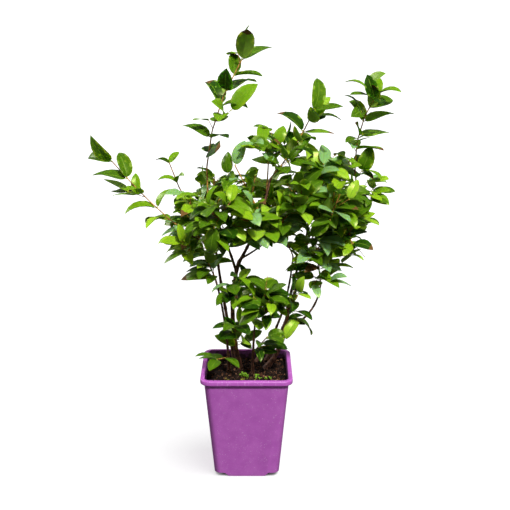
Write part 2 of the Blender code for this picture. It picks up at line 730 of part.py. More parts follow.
def build_pot(shrub, cutters):
    """One moulded piece: thin tapered walls, a thick rim and a floor with lifted corners."""
    material = new_material("purple_plastic", PURPLE, 0.45)
    base = BASE_WIDTH / 2
    under_rim = POT_HEIGHT - PAST
    pot = block(
        "pot", base, wall_half_width(under_rim), 0, under_rim, POT_CORNER, shrub, material
    )
    rim_half = RIM_WIDTH / 2
    rim_low = POT_HEIGHT - RIM_HEIGHT
    rim = block(
        "rim", rim_half, rim_half, rim_low, POT_HEIGHT, POT_CORNER + RIM_OVERHANG, cutters
    )
    rounding = rim.modifiers.new("rounding", "BEVEL")
    rounding.width = RIM_ROUND
    rounding.segments = 2
    rounding.limit_method = "ANGLE"
    rounding.angle_limit = math.radians(60)
    boolean(pot, settled(rim), "UNION")
    boolean(pot, corner_lifts(0, cutters), "DIFFERENCE")
    hollow = pot_filling("hollow", 0, FLOOR, POT_HEIGHT + PAST, cutters)
    boolean(hollow, corner_lifts(FLOOR, cutters), "DIFFERENCE")
    boolean(pot, hollow, "DIFFERENCE")
    boolean(pot, drain_holes(cutters), "DIFFERENCE")
    pot.data.shade_smooth()
    pot.data.set_sharp_from_angle(angle=math.radians(35))
    return pot


def build_compost(shrub, cutters):
    """The compost that fills the pot, level on top, clear of its walls and floor."""
    material = new_material("compost", COMPOST, 0.95)
    floor = FLOOR + CLEARANCE
    compost = pot_filling("compost", CLEARANCE, floor, SOIL_LEVEL, shrub, material)
    return boolean(compost, corner_lifts(floor, cutters), "DIFFERENCE")


def main():
    for item in list(bpy.data.objects):
        bpy.data.objects.remove(item)
    shrub = new_collection("potted_haskap")
    cutters = new_collection("cutters")
    build_pot(shrub, cutters)
    build_compost(shrub, cutters)
    garden = Garden()
    bark = new_material("old_bark", OLD_BARK, 0.85)
    for limb in LIMBS:
        build_limb(limb, garden, shrub, cutters, bark)
    foliage = new_material("foliage", LEAF_GREEN, 0.5)
    blade, shoot = blade_mesh(), shoot_mesh()
    for index in range(len(MASSES)):
        build_mass(index, garden, shrub, cutters, blade, shoot, foliage)


if __name__ == "__main__":
    main()
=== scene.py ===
"""The looks of the potted haskap shrub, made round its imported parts.

Metres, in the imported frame: the origin is under the middle of the pot, +Z is up and -Y is the
front. Stems, twigs and leaves grow by the rule that the solids grew by, carried on to finer
twigs: each leaf of a solid gets its real outline here, and smaller ones grow between them.
"""

import json
import math
import random
from collections import namedtuple

import bmesh
import bpy
import numpy as np
from bpy.props import FloatProperty, FloatVectorProperty, IntProperty, PointerProperty
from mathutils import Matrix, Vector, noise

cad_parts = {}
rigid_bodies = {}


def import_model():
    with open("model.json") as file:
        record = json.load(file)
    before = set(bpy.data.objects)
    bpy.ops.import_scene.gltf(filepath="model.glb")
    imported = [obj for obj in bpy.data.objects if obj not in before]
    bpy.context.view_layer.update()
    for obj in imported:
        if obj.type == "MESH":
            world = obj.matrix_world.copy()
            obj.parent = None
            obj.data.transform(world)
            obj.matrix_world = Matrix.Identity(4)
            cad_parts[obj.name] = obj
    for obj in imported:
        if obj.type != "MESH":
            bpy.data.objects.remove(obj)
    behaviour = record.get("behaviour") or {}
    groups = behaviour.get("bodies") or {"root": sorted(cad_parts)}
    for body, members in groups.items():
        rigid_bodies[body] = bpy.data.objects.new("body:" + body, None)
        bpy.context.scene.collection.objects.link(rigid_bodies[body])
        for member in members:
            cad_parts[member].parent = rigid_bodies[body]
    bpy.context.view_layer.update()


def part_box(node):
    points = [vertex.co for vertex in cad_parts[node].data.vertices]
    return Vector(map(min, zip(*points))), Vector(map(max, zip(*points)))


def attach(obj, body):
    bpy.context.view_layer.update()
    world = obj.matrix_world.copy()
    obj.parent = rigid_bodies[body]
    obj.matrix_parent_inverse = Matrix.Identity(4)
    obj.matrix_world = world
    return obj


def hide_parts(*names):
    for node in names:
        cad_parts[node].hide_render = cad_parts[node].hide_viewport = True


bl_info = {
    "name": "Potted haskap shrub",
    "version": (1, 0, 0),
    "blender": (4, 5, 0),
    "location": "3D View > Sidebar > Haskap",
    "description": "Dresses the packed haskap shrub with bark, twigs, leaves, compost and its pot",
    "category": "Object",
}

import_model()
POT_LOW, POT_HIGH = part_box("pot")
POT_HEIGHT = POT_HIGH.z
RIM_WIDTH = POT_HIGH.x - POT_LOW.x
SOIL_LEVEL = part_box("compost")[1].z
UP = Vector((0, 0, 1))

# Sizes of the growth rule, shared with the solids: spreads in degrees, turns in radians
CLEARANCE = 0.0003  # the gap that touching pieces keep
RIM_OVERHANG = 0.0055
LIMB_POINTS = 8
FLARE = 1.45  # how much wider a stem is where it meets the compost
STEM_POINTS = 5
STEM_RADIUS = 0.0016
STEM_TIP_RADIUS = 0.0011
STEM_SHARE = 0.9  # the most of its limb's own radius that a mass's stem has
SPACE_MARGIN = 0.035  # how much nearer its own stem than the next a leaf stays, in reaches
LEAF_CLEARANCE = 0.003  # from limbs, rim and compost
AIMS = 14  # how often a leaf or twig that does not fit is aimed anew
LEAF_WIDTH = 0.50  # of its length
LEAF_SIZES = (0.82, 1.12)
LEAF_SPACING = 0.42  # between the middles of two leaves, as a share of their length
CROWN_MIDDLE = Vector((0.025, 0.015, 0.0))
LIGHT = Vector((0.1, -0.5, 0.85))  # where leaves turn their faces
OUTWARD = 0.7  # the most that they turn out of the crown as well
FACE_LOOSE = 0.6
DROOP = 0.3
HANG = 0.4  # how far a leaf that points down still does
PAIR_SWING = 0.7  # how far pairs turn to one side and the other, up a stem
PAIR_LOOSE = 0.35
FOOT_SPREAD = 72  # between a stem and its lowest leaves
SPREAD_LOSS = 36  # how much less it is at the stem's tip
SPREAD_LOOSE = 14
LONE_SPREAD = 60  # of a leaf that grows where no twig fits
LEAF_SHRINK = 0.97  # at each new aim
LEAF_TURN = 0.9
TWIG_RADIUS = 0.0010
TWIG_TIP_RADIUS = 0.0008
TWIG_EVERY = 3  # pairs of buds
TWIG_FIRST = 1
TWIG_LENGTHS = (0.7, 1.15)
TWIG_SPREADS = (35, 65)  # from the stem
TWIG_LIFT = (-0.1, 0.3)
TWIG_SHRINK = 0.88  # at each new aim
TWIG_TURN = 0.8
TWIG_LEAFY = 0.9  # the share of a twig that has leaves
TWIG_PAIR_LOOSE = 0.5
TWIG_TIP_SPREAD = 45
TWIG_PAIR_SPREAD = 20  # how much wider each next pair spreads, down a twig
BUD_LENGTH = 0.0015  # how far a twig runs on past its last pair of leaves
LEAF_STEP = 0.019  # between pairs on a twig

# A limb leaves its parent a share `at` along it, or the compost at the point `at`, and runs
# to its tip. Its middle is pushed out of the straight line by `bow`.
Limb = namedtuple("Limb", "name parent at tip bow thick thin")
LIMBS = (
    Limb("stem_left", None, (-0.013, 0.022), (-0.012, 0.000, 0.357),
         bow=(-0.011, 0.000, 0.010), thick=0.0042, thin=0.0030),
    Limb("stem_left_thin", None, (-0.030, 0.004), (-0.050, -0.030, 0.338),
         bow=(0.004, 0.004, 0.004), thick=0.0024, thin=0.0015),
    Limb("stem_centre", None, (0.010, -0.004), (0.014, -0.022, 0.262),
         bow=(-0.001, 0.000, 0.000), thick=0.0024, thin=0.0016),
    Limb("stem_right", None, (0.033, 0.020), (0.066, 0.011, 0.246),
         bow=(0.005, 0.000, -0.004), thick=0.0044, thin=0.0032),
    Limb("stem_right_thin", None, (0.016, 0.052), (0.078, 0.055, 0.352),
         bow=(0.011, 0.000, -0.013), thick=0.0024, thin=0.0014),
    Limb("stem_back_left", None, (-0.021, 0.050), (-0.060, 0.088, 0.400),
         bow=(-0.002, 0.008, 0.000), thick=0.0032, thin=0.0018),
    Limb("stem_back_right", None, (0.034, 0.056), (0.106, 0.104, 0.400),
         bow=(0.010, 0.006, -0.018), thick=0.0032, thin=0.0018),
    Limb("bough_left", "stem_left", 0.88, (-0.060, -0.028, 0.462),
         bow=(0.004, -0.002, -0.002), thick=0.0023, thin=0.0014),
    Limb("bough_far_left", "bough_left", 0.42, (-0.092, -0.030, 0.411),
         bow=(0.000, -0.002, -0.005), thick=0.0013, thin=0.0011),
    Limb("bough_centre", "stem_left", 1.0, (0.038, -0.018, 0.497),
         bow=(0.004, -0.002, -0.006), thick=0.0027, thin=0.0015),
    Limb("bough_low_centre", "bough_centre", 0.05, (0.034, -0.014, 0.396),
         bow=(0.000, 0.000, -0.002), thick=0.0017, thin=0.0012),
    Limb("bough_right_outer", "stem_right", 0.93, (0.122, 0.002, 0.318),
         bow=(0.010, -0.002, -0.011), thick=0.0021, thin=0.0014),
    Limb("bough_right", "stem_right", 1.0, (0.104, 0.030, 0.392),
         bow=(-0.006, 0.004, 0.000), thick=0.0026, thin=0.0015),
    Limb("bough_right_arm", "bough_right", 0.72, (0.176, 0.000, 0.475),
         bow=(0.006, -0.002, -0.020), thick=0.0019, thin=0.0013),
)

# A mass of leaves grows round a stem of its own, from its limb to its tip, and keeps within
# `reach` of that stem. The first `bare` of the stem has no leaves. `nodes` counts the pairs of
# buds on the rest. Where `twig` is given, every third pair grows twigs of about that length.
Mass = namedtuple(
    "Mass", "name limb at tip reach bare nodes leaf seed twig bow", defaults=(0.0, (0, 0, 0))
)
MASSES = (
    Mass("leaves_tall_shoot", "bough_left", 1.0, (-0.006, 0.000, 0.680), reach=0.062, bare=0.055,
         nodes=8, leaf=0.053, seed=25, bow=(-0.020, 0.002, 0.000)),
    Mass("leaves_left_shoot", "bough_far_left", 1.0, (-0.213, 0.000, 0.522), reach=0.060, bare=0.040,
         nodes=5, leaf=0.047, seed=2, bow=(0.002, 0.000, -0.009)),
    Mass("leaves_small_shoot", "stem_back_left", 0.93, (-0.127, 0.050, 0.512), reach=0.040, bare=0.060,
         nodes=4, leaf=0.032, seed=1, bow=(-0.004, -0.004, -0.012)),
    Mass("leaves_top_centre", "bough_centre", 1.0, (0.106, 0.000, 0.602), reach=0.060, bare=0.022,
         nodes=7, leaf=0.050, seed=23, bow=(0.003, 0.000, -0.004)),
    Mass("leaves_top_right", "bough_right_arm", 1.0, (0.202, 0.000, 0.626), reach=0.060, bare=0.020,
         nodes=7, leaf=0.048, seed=21, bow=(-0.014, 0.000, 0.004)),
    Mass("leaves_right_upper", "bough_right", 1.0, (0.122, -0.004, 0.518), reach=0.062, bare=0.035,
         nodes=7, leaf=0.050, seed=19, twig=0.032, bow=(0.006, 0.000, 0.000)),
    Mass("leaves_right_side", "bough_right_arm", 0.88, (0.182, -0.014, 0.476), reach=0.050, bare=0.010,
         nodes=4, leaf=0.046, seed=24, twig=0.024, bow=(0.000, 0.000, 0.002)),
    Mass("leaves_right_lower", "bough_right_arm", 0.5, (0.164, -0.032, 0.412), reach=0.050, bare=0.010,
         nodes=5, leaf=0.045, seed=13, twig=0.024, bow=(0.000, 0.000, -0.004)),
    Mass("leaves_right_low", "bough_right_outer", 1.0, (0.112, -0.022, 0.380), reach=0.058, bare=0.008,
         nodes=6, leaf=0.046, seed=19, twig=0.026),
    Mass("leaves_left_low", "bough_far_left", 0.6, (-0.096, -0.038, 0.398), reach=0.048, bare=0.008,
         nodes=5, leaf=0.046, seed=2, twig=0.024, bow=(0.000, 0.000, 0.004)),
    Mass("leaves_left_mid", "bough_left", 0.62, (-0.088, -0.030, 0.456), reach=0.058, bare=0.012,
         nodes=5, leaf=0.048, seed=2, twig=0.026, bow=(0.000, 0.000, 0.002)),
    Mass("leaves_left_hanging", "stem_left_thin", 1.0, (-0.060, -0.042, 0.366), reach=0.054, bare=0.006,
         nodes=3, leaf=0.046, seed=8),
    Mass("leaves_front_left", "bough_left", 0.82, (-0.040, -0.092, 0.450), reach=0.058, bare=0.020,
         nodes=5, leaf=0.048, seed=16, twig=0.026),
    Mass("leaves_centre_upper", "bough_centre", 0.84, (0.036, 0.004, 0.538), reach=0.060, bare=0.018,
         nodes=6, leaf=0.048, seed=1, twig=0.028),
    Mass("leaves_centre_left", "bough_centre", 0.62, (-0.018, -0.014, 0.518), reach=0.060, bare=0.020,
         nodes=6, leaf=0.048, seed=10, twig=0.028),
    Mass("leaves_centre", "bough_centre", 0.32, (0.002, -0.066, 0.448), reach=0.060, bare=0.015,
         nodes=6, leaf=0.050, seed=10, twig=0.028, bow=(0.000, 0.000, -0.004)),
    Mass("leaves_centre_right", "bough_low_centre", 1.0, (0.088, -0.052, 0.476), reach=0.062, bare=0.010,
         nodes=7, leaf=0.050, seed=18, twig=0.028),
    Mass("leaves_front_right", "bough_right", 0.86, (0.136, -0.064, 0.462), reach=0.060, bare=0.030,
         nodes=5, leaf=0.050, seed=14, twig=0.028),
    Mass("leaves_low_left", "stem_left", 0.62, (-0.022, -0.042, 0.316), reach=0.054, bare=0.012,
         nodes=4, leaf=0.042, seed=9, twig=0.024),
    Mass("leaves_low_centre", "stem_centre", 1.0, (0.030, -0.052, 0.318), reach=0.056, bare=0.008,
         nodes=6, leaf=0.042, seed=32, twig=0.026),
    Mass("leaves_low_right", "stem_right", 0.86, (0.076, -0.036, 0.318), reach=0.044, bare=0.026,
         nodes=4, leaf=0.040, seed=23, twig=0.018),
    Mass("leaves_foot_left", "stem_left", 0.14, (-0.018, -0.044, 0.262), reach=0.050, bare=0.016,
         nodes=4, leaf=0.044, seed=9, twig=0.014),
    Mass("leaves_rim_left", "stem_left_thin", 0.14, (-0.048, -0.030, 0.199), reach=0.050, bare=0.012,
         nodes=2, leaf=0.046, seed=29),
    Mass("leaves_foot_right", "stem_centre", 0.4, (0.034, -0.034, 0.240), reach=0.046, bare=0.012,
         nodes=3, leaf=0.042, seed=37),
    Mass("leaves_back_left", "stem_back_left", 1.0, (-0.056, 0.082, 0.462), reach=0.056, bare=0.008,
         nodes=5, leaf=0.048, seed=20, twig=0.028),
    Mass("leaves_back_left_low", "stem_back_left", 0.72, (-0.096, 0.106, 0.390), reach=0.056, bare=0.015,
         nodes=5, leaf=0.048, seed=1, twig=0.026),
    Mass("leaves_back_centre", "stem_right_thin", 1.0, (0.030, 0.080, 0.466), reach=0.062, bare=0.012,
         nodes=6, leaf=0.048, seed=18, twig=0.030),
    Mass("leaves_back_right", "stem_back_right", 1.0, (0.130, 0.076, 0.482), reach=0.060, bare=0.010,
         nodes=6, leaf=0.048, seed=14, twig=0.030),
    Mass("leaves_back_right_low", "stem_back_right", 0.75, (0.166, 0.092, 0.400), reach=0.056, bare=0.015,
         nodes=5, leaf=0.046, seed=5, twig=0.026),
)

MASS_NAMES = [mass.name for mass in MASSES]

# Where the photograph shows sky between the leaves: x, z and radius on the plane y = 0, as its
# eye sees it. No leaf or twig grows across such a place.
EYE = np.array((0.0138, -1.415, 0.74))
OPENINGS = {
    "beside the left shoot": (-0.155, 0.510, 0.020),
    "below the left shoot": (-0.130, 0.440, 0.010),
    "below the small shoot": (-0.090, 0.485, 0.015),
    "beside the small shoot": (-0.085, 0.515, 0.012),
    "beside the tall shoot": (-0.065, 0.600, 0.010),
    "at the foot of the tall shoot": (-0.045, 0.510, 0.010),
    "right of the tall shoot": (-0.010, 0.580, 0.020),
    "over the centre": (-0.010, 0.510, 0.012),
    "in the centre": (0.030, 0.505, 0.012),
    "below the top centre": (0.040, 0.595, 0.015),
    "between the top shoots": (0.140, 0.550, 0.015),
    "below the top right": (0.160, 0.575, 0.010),
    "left of the main fork": (-0.035, 0.335, 0.013),
    "right of the main fork": (0.025, 0.350, 0.015),
    "under the middle": (0.055, 0.355, 0.020),
    "over the low right leaves": (0.065, 0.320, 0.010),
    "right of the stems' feet": (0.055, 0.255, 0.012),
    "inside the right stems": (0.090, 0.285, 0.010),
}
OPEN_CENTRES = np.array(list(OPENINGS.values()))[:, :2]
OPEN_RADII = np.array(list(OPENINGS.values()))[:, 2]

# Finer shoots, which only the looks have
FINER_SEED = 100
SHOOT_STEP = 0.008  # between the buds that may grow one
SHOOT_LENGTHS = (0.012, 0.036)
SHOOT_LEAVES = (0.66, 1.05)  # the size of its leaves beside those of its mass
SHOOT_CHANCE = 0.95
SHOOT_RADIUS = 0.0006
BARE_SHOOT_CHANCE = 0.15  # on a mass with no twigs of its own
SHOOT_MARGIN = -0.3  # less than nothing: it may be nearer the next stem than its own
SHOOT_SPACING = 0.37
SHOOT_START = 0.3  # the share of a twig that stays bare

# A leaf's outline: places along its blade, and its half width there as a share of the widest
LEAF_OUTLINE = (
    (0.03, 0.38), (0.12, 0.74), (0.27, 0.96), (0.45, 1.0), (0.62, 0.90), (0.79, 0.63), (0.92, 0.27)
)
TOP_COLUMNS = (-0.55, -0.04, 0.04, 0.55)  # the rib lies between the inner two
UNDER_COLUMNS = (0.55, 0.0, -0.55)
PETIOLE = 0.07  # of the leaf's length
BLADE_LENGTH = 1.12  # along the blade's arch, for each metre of its leaf's straight line
BLADE_WIDTHS = (1.0, 1.26)  # along the blade's fold, in the same way
LEAF_ARCH = (0.35, 1.55)
LEAF_FOLD = (0.16, 0.66)
LEAF_CURL = (0.08, 0.42)
LEAF_WAVE = (0.01, 0.06)
LEAF_LEVEL = (0.3, 2.0)  # how far the light turns a face up
LEAF_REACH = 0.6  # how much of its rise a blade keeps
LEAF_TWIST = (-0.5, 0.5)
ARCH_START = 0.4  # where an arched leaf runs level
LEAF_BACK = 0.00035  # how far the rib stands out below
LEAF_BODY = 0.00018
WAVES = 5.0
EDGE_SHIFT = 1.3  # how far the waves of a blade's two edges are out of step
LEAF_PUCKER = 0.016  # how far a blade swells and sinks between its side veins, of its half width
PUCKERED = (0.2, 0.9)  # between which shares of the half width it does so
TIP_CELLS = 2  # of a blade's cells along it, how many turn brown with its tip


def bent(start, tip, bow, count):
    """Points along a line from start to tip, with its middle pushed out by bow."""
    control = (start + tip) / 2 + 2 * bow
    points = []
    for step in range(count):
        t = step / (count - 1)
        points.append(start * (1 - t) ** 2 + control * 2 * t * (1 - t) + tip * t * t)
    return points


def along(points, share):
    """The place and heading a share of the way along a line of points."""
    spot = share * (len(points) - 1)
    first = min(int(spot), len(points) - 2)
    rest = spot - first
    before, after = points[first], points[first + 1]
    return before.lerp(after, rest), (after - before).normalized()


def line_length(points):
    return sum((after - before).length for before, after in zip(points, points[1:]))


def limb_lines():
    """Each limb's line of points, by name."""
    lines = {}
    for limb in LIMBS:
        if limb.parent is None:
            start = Vector((*limb.at, SOIL_LEVEL + CLEARANCE))
        else:
            start = along(lines[limb.parent], limb.at)[0]
        lines[limb.name] = bent(start, Vector(limb.tip), Vector(limb.bow), LIMB_POINTS)
    return lines


def taper(thick, thin, count):
    """Evenly spaced radii from thick to thin."""
    return [thick + (thin - thick) * step / (count - 1) for step in range(count)]


def limb_radii(limb):
    """A limb's radius at each of its points: an even taper, and a flare at the compost."""
    radii = taper(limb.thick, limb.thin, LIMB_POINTS)
    if limb.parent is None:
        radii[0] *= FLARE
    return radii


class Lines:
    """Straight pieces of many lines, which tell how far a set of points is from each line."""

    def __init__(self, lines):
        self.starts = np.array([a for line in lines for a in line[:-1]])
        ends = np.array([b for line in lines for b in line[1:]])
        self.runs = ends - self.starts
        self.lengths = (self.runs**2).sum(axis=1)
        counts = [len(line) - 1 for line in lines]
        self.firsts = np.concatenate([[0], np.cumsum(counts)[:-1]])

    def distances(self, points):
        """A row for each point and a column for each line."""
        offsets = points[:, None, :] - self.starts[None]
        shares = np.clip((offsets * self.runs).sum(axis=2) / self.lengths, 0, 1)
        nearest = np.linalg.norm(offsets - shares[..., None] * self.runs, axis=2)
        return np.minimum.reduceat(nearest, self.firsts, axis=1)


class Garden:
    """The space of each mass, and the limbs that its leaves keep off."""

    def __init__(self):
        self.limb_lines = limb_lines()
        self.limbs = Lines(list(self.limb_lines.values()))
        self.limb_sizes = np.array([max(limb_radii(limb)[1:]) for limb in LIMBS])
        self.stems = {}
        for mass in MASSES:
            start = along(self.limb_lines[mass.limb], mass.at)[0]
            self.stems[mass.name] = bent(start, Vector(mass.tip), Vector(mass.bow), STEM_POINTS)
        self.spaces = Lines(list(self.stems.values()))
        self.reaches = np.array([mass.reach for mass in MASSES])
        self.keep(SPACE_MARGIN, LEAF_SPACING)

    def keep(self, margin, spacing):
        """Sets how far leaves keep off the next mass, and off each other."""
        self.margin = margin
        self.spacing = spacing

    def holds(self, index, points, spare):
        """Whether all the points lie in a mass's own space, off every limb, rim and compost."""
        points = np.array(points)
        shares = self.spaces.distances(points) / self.reaches
        own = shares[:, index].copy()
        shares[:, index] = np.inf
        if (own > 1).any() or (own + self.margin > shares.min(axis=1)).any():
            return False
        if (self.limbs.distances(points) < self.limb_sizes + spare).any():
            return False
        across = np.abs(points[:, :2]).max(axis=1)
        over_pot = across < RIM_WIDTH / 2 + spare
        over_compost = across < RIM_WIDTH / 2 - 2 * RIM_OVERHANG - spare
        floor = np.where(over_compost, SOIL_LEVEL, np.where(over_pot, POT_HEIGHT, 0.0))
        if (points[:, 2] < floor + spare).any():
            return False
        rays = points - EYE
        seen = (EYE - rays * (EYE[1] / rays[:, 1:2]))[:, None, ::2]
        return bool((np.linalg.norm(seen - OPEN_CENTRES, axis=2) > OPEN_RADII).all())


Leaf = namedtuple("Leaf", "root along face length")
Twig = namedtuple("Twig", "root tip")
UPRIGHT = 0.05  # a heading that runs less than this aside counts as upright


def crosswise(heading, angle):
    """A direction at right angles to heading, turned round it by angle."""
    level = heading.cross(UP)
    if level.length < UPRIGHT:
        level = Vector((1, 0, 0))
    return Matrix.Rotation(angle, 3, heading) @ level.normalized()


def leaf_points(leaf):
    """Points spread over a leaf, which all have to fit its space."""
    across = leaf.face.cross(leaf.along) * leaf.length * LEAF_WIDTH / 2
    points = [leaf.root + leaf.along * leaf.length * step / 6 for step in range(1, 7)]
    for share in (0.25, 0.5, 0.75):
        middle = leaf.root + leaf.along * leaf.length * share
        points += [middle + across * way for way in (-1, -0.5, 0.5, 1)]
    return points


def aimed_leaf(root, heading, side, spread, length, rng):
    """A leaf on one side of a twig, its face turned to the light and out of the crown."""
    spread = math.radians(spread + rng.uniform(-SPREAD_LOOSE, SPREAD_LOOSE))
    aim = heading * math.cos(spread) + side * math.sin(spread)
    aim.z -= rng.uniform(0.0, DROOP)
    if aim.z < 0:
        aim.z *= HANG
    aim.normalize()
    outward = root - CROWN_MIDDLE
    outward.z = 0
    loose = Vector([rng.uniform(-1, 1) for _ in range(3)])
    face = LIGHT + outward.normalized() * rng.uniform(0.0, OUTWARD) + loose * FACE_LOOSE
    face -= aim * face.dot(aim)
    return Leaf(root, aim, face.normalized(), length)


def crowded(garden, leaf, others):
    """Whether a leaf lies on another of its mass."""
    middle = leaf.root + leaf.along * leaf.length / 2
    for other in others:
        near = (other.root + other.along * other.length / 2 - middle).length
        if near < garden.spacing * (leaf.length + other.length) / 2:
            return True
    return False


def grow_leaf(garden, index, root, heading, side, spread, length, rng, others):
    """Adds a leaf that fits its mass's space, if one of a few aims gives such a leaf."""
    for _ in range(AIMS):
        leaf = aimed_leaf(root, heading, side, spread, length, rng)
        fits = garden.holds(index, leaf_points(leaf), LEAF_CLEARANCE)
        if fits and not crowded(garden, leaf, others):
            others.append(leaf)
            return
        length *= LEAF_SHRINK
        side = Matrix.Rotation(rng.uniform(-LEAF_TURN, LEAF_TURN), 3, heading) @ side


def grow_twig(garden, index, root, heading, side, length, rng):
    """A straight twig that fits its mass's space, or None."""
    for _ in range(AIMS):
        spread = math.radians(rng.uniform(*TWIG_SPREADS))
        aim = heading * math.cos(spread) + side * math.sin(spread)
        aim.z += rng.uniform(*TWIG_LIFT)
        tip = root + aim.normalized() * length
        outer = [root.lerp(tip, share) for share in (0.2, 0.4, 0.6, 0.8, 1.0)]
        if garden.holds(index, outer, LEAF_CLEARANCE):
            return Twig(root, tip)
        length *= TWIG_SHRINK
        side = Matrix.Rotation(rng.uniform(-TWIG_TURN, TWIG_TURN), 3, heading) @ side
    return None


def grow_pair(garden, index, root, heading, turn, spread, length, rng, leaves):
    """Adds an opposite pair of leaves."""
    for way in (1, -1):
        side = crosswise(heading, turn) * way
        size = length * rng.uniform(*LEAF_SIZES)
        grow_leaf(garden, index, root, heading, side, spread, size, rng, leaves)


def grow_mass(garden, index):
    """The twigs and leaves of one mass, from pairs of buds up its stem."""
    mass = MASSES[index]
    rng = random.Random(mass.seed)
    stem = garden.stems[mass.name]
    first = mass.bare / line_length(stem)
    last = 1 - BUD_LENGTH / line_length(stem)
    twigs, leaves = [], []
    for node in range(mass.nodes):
        height = node / (mass.nodes - 1)
        root, heading = along(stem, first + (last - first) * height)
        turn = math.pi / 2 + (PAIR_SWING if node % 2 else -PAIR_SWING)
        turn += rng.uniform(-PAIR_LOOSE, PAIR_LOOSE)
        if mass.twig == 0 or node % TWIG_EVERY != TWIG_FIRST:
            spread = FOOT_SPREAD - SPREAD_LOSS * height
            grow_pair(garden, index, root, heading, turn, spread, mass.leaf, rng, leaves)
            continue
        for way in (1, -1):
            side = crosswise(heading, turn) * way
            length = mass.twig * rng.uniform(*TWIG_LENGTHS)
            twig = grow_twig(garden, index, root, heading, side, length, rng)
            if twig is None:
                grow_leaf(garden, index, root, heading, side, LONE_SPREAD, mass.leaf, rng, leaves)
                continue
            bare = len(leaves)
            grow_twig_leaves(garden, index, twig, mass.leaf, rng, leaves)
            if len(leaves) > bare:
                twigs.append(twig)
    return twigs, leaves


def grow_twig_leaves(garden, index, twig, size, rng, leaves):
    """Adds opposite pairs up a twig, the first of them at its tip."""
    run = twig.tip - twig.root
    heading = run.normalized()
    pairs = max(1, round(run.length / LEAF_STEP))
    for pair in range(pairs):
        root = twig.tip - heading * BUD_LENGTH - run * TWIG_LEAFY * pair / pairs
        turn = (0.0 if pair % 2 else math.pi / 2) + rng.uniform(-TWIG_PAIR_LOOSE, TWIG_PAIR_LOOSE)
        spread = TWIG_TIP_SPREAD + TWIG_PAIR_SPREAD * pair
        grow_pair(garden, index, root, heading, turn, spread, size, rng, leaves)


def grow_shoots(garden, index, twigs, leaves):
    """Carries a mass on to finer shoots, with small leaves, from buds on its stem and twigs."""
    mass = MASSES[index]
    rng = random.Random(mass.seed + FINER_SEED)
    chance = SHOOT_CHANCE if mass.twig else BARE_SHOOT_CHANCE
    garden.keep(SHOOT_MARGIN, SHOOT_SPACING)
    shoots = []
    for line in [garden.stems[mass.name], *([twig.root, twig.tip] for twig in twigs)]:
        length = line_length(line)
        start = mass.bare / length if len(line) > 2 else SHOOT_START
        buds = max(1, round(length * (1 - start) / SHOOT_STEP))
        for bud in range(buds):
            if rng.random() > chance:
                continue
            root, heading = along(line, start + (1 - start) * bud / buds)
            side = crosswise(heading, rng.uniform(0, 2 * math.pi))
            reach = rng.uniform(*SHOOT_LENGTHS)
            shoot = grow_twig(garden, index, root, heading, side, reach, rng)
            if shoot is None:
                continue
            bare = len(leaves)
            size = mass.leaf * rng.uniform(*SHOOT_LEAVES)
            grow_twig_leaves(garden, index, shoot, size, rng, leaves)
            if len(leaves) > bare:
                shoots.append(shoot)
    garden.keep(SPACE_MARGIN, LEAF_SPACING)
    return shoots


class Signal:
    """An output of a material's node, which takes part in sums."""

    def __init__(self, finish, socket):
        self.finish = finish
        self.socket = socket

    def __add__(self, other):
        return self.finish.maths("ADD", self, other)

    def __radd__(self, other):
        return self.finish.maths("ADD", other, self)

    def __rsub__(self, other):
        return self.finish.maths("SUBTRACT", other, self)

    def __mul__(self, other):
        return self.finish.maths("MULTIPLY", self, other)

    def over(self, low, high):
        """0 at low and under, 1 at high and over, and smooth between."""
        settings = {"interpolation_type": "SMOOTHSTEP"}
        values = {"Value": self, "From Min": low, "From Max": high}
        return self.finish.node("MapRange", settings, values)


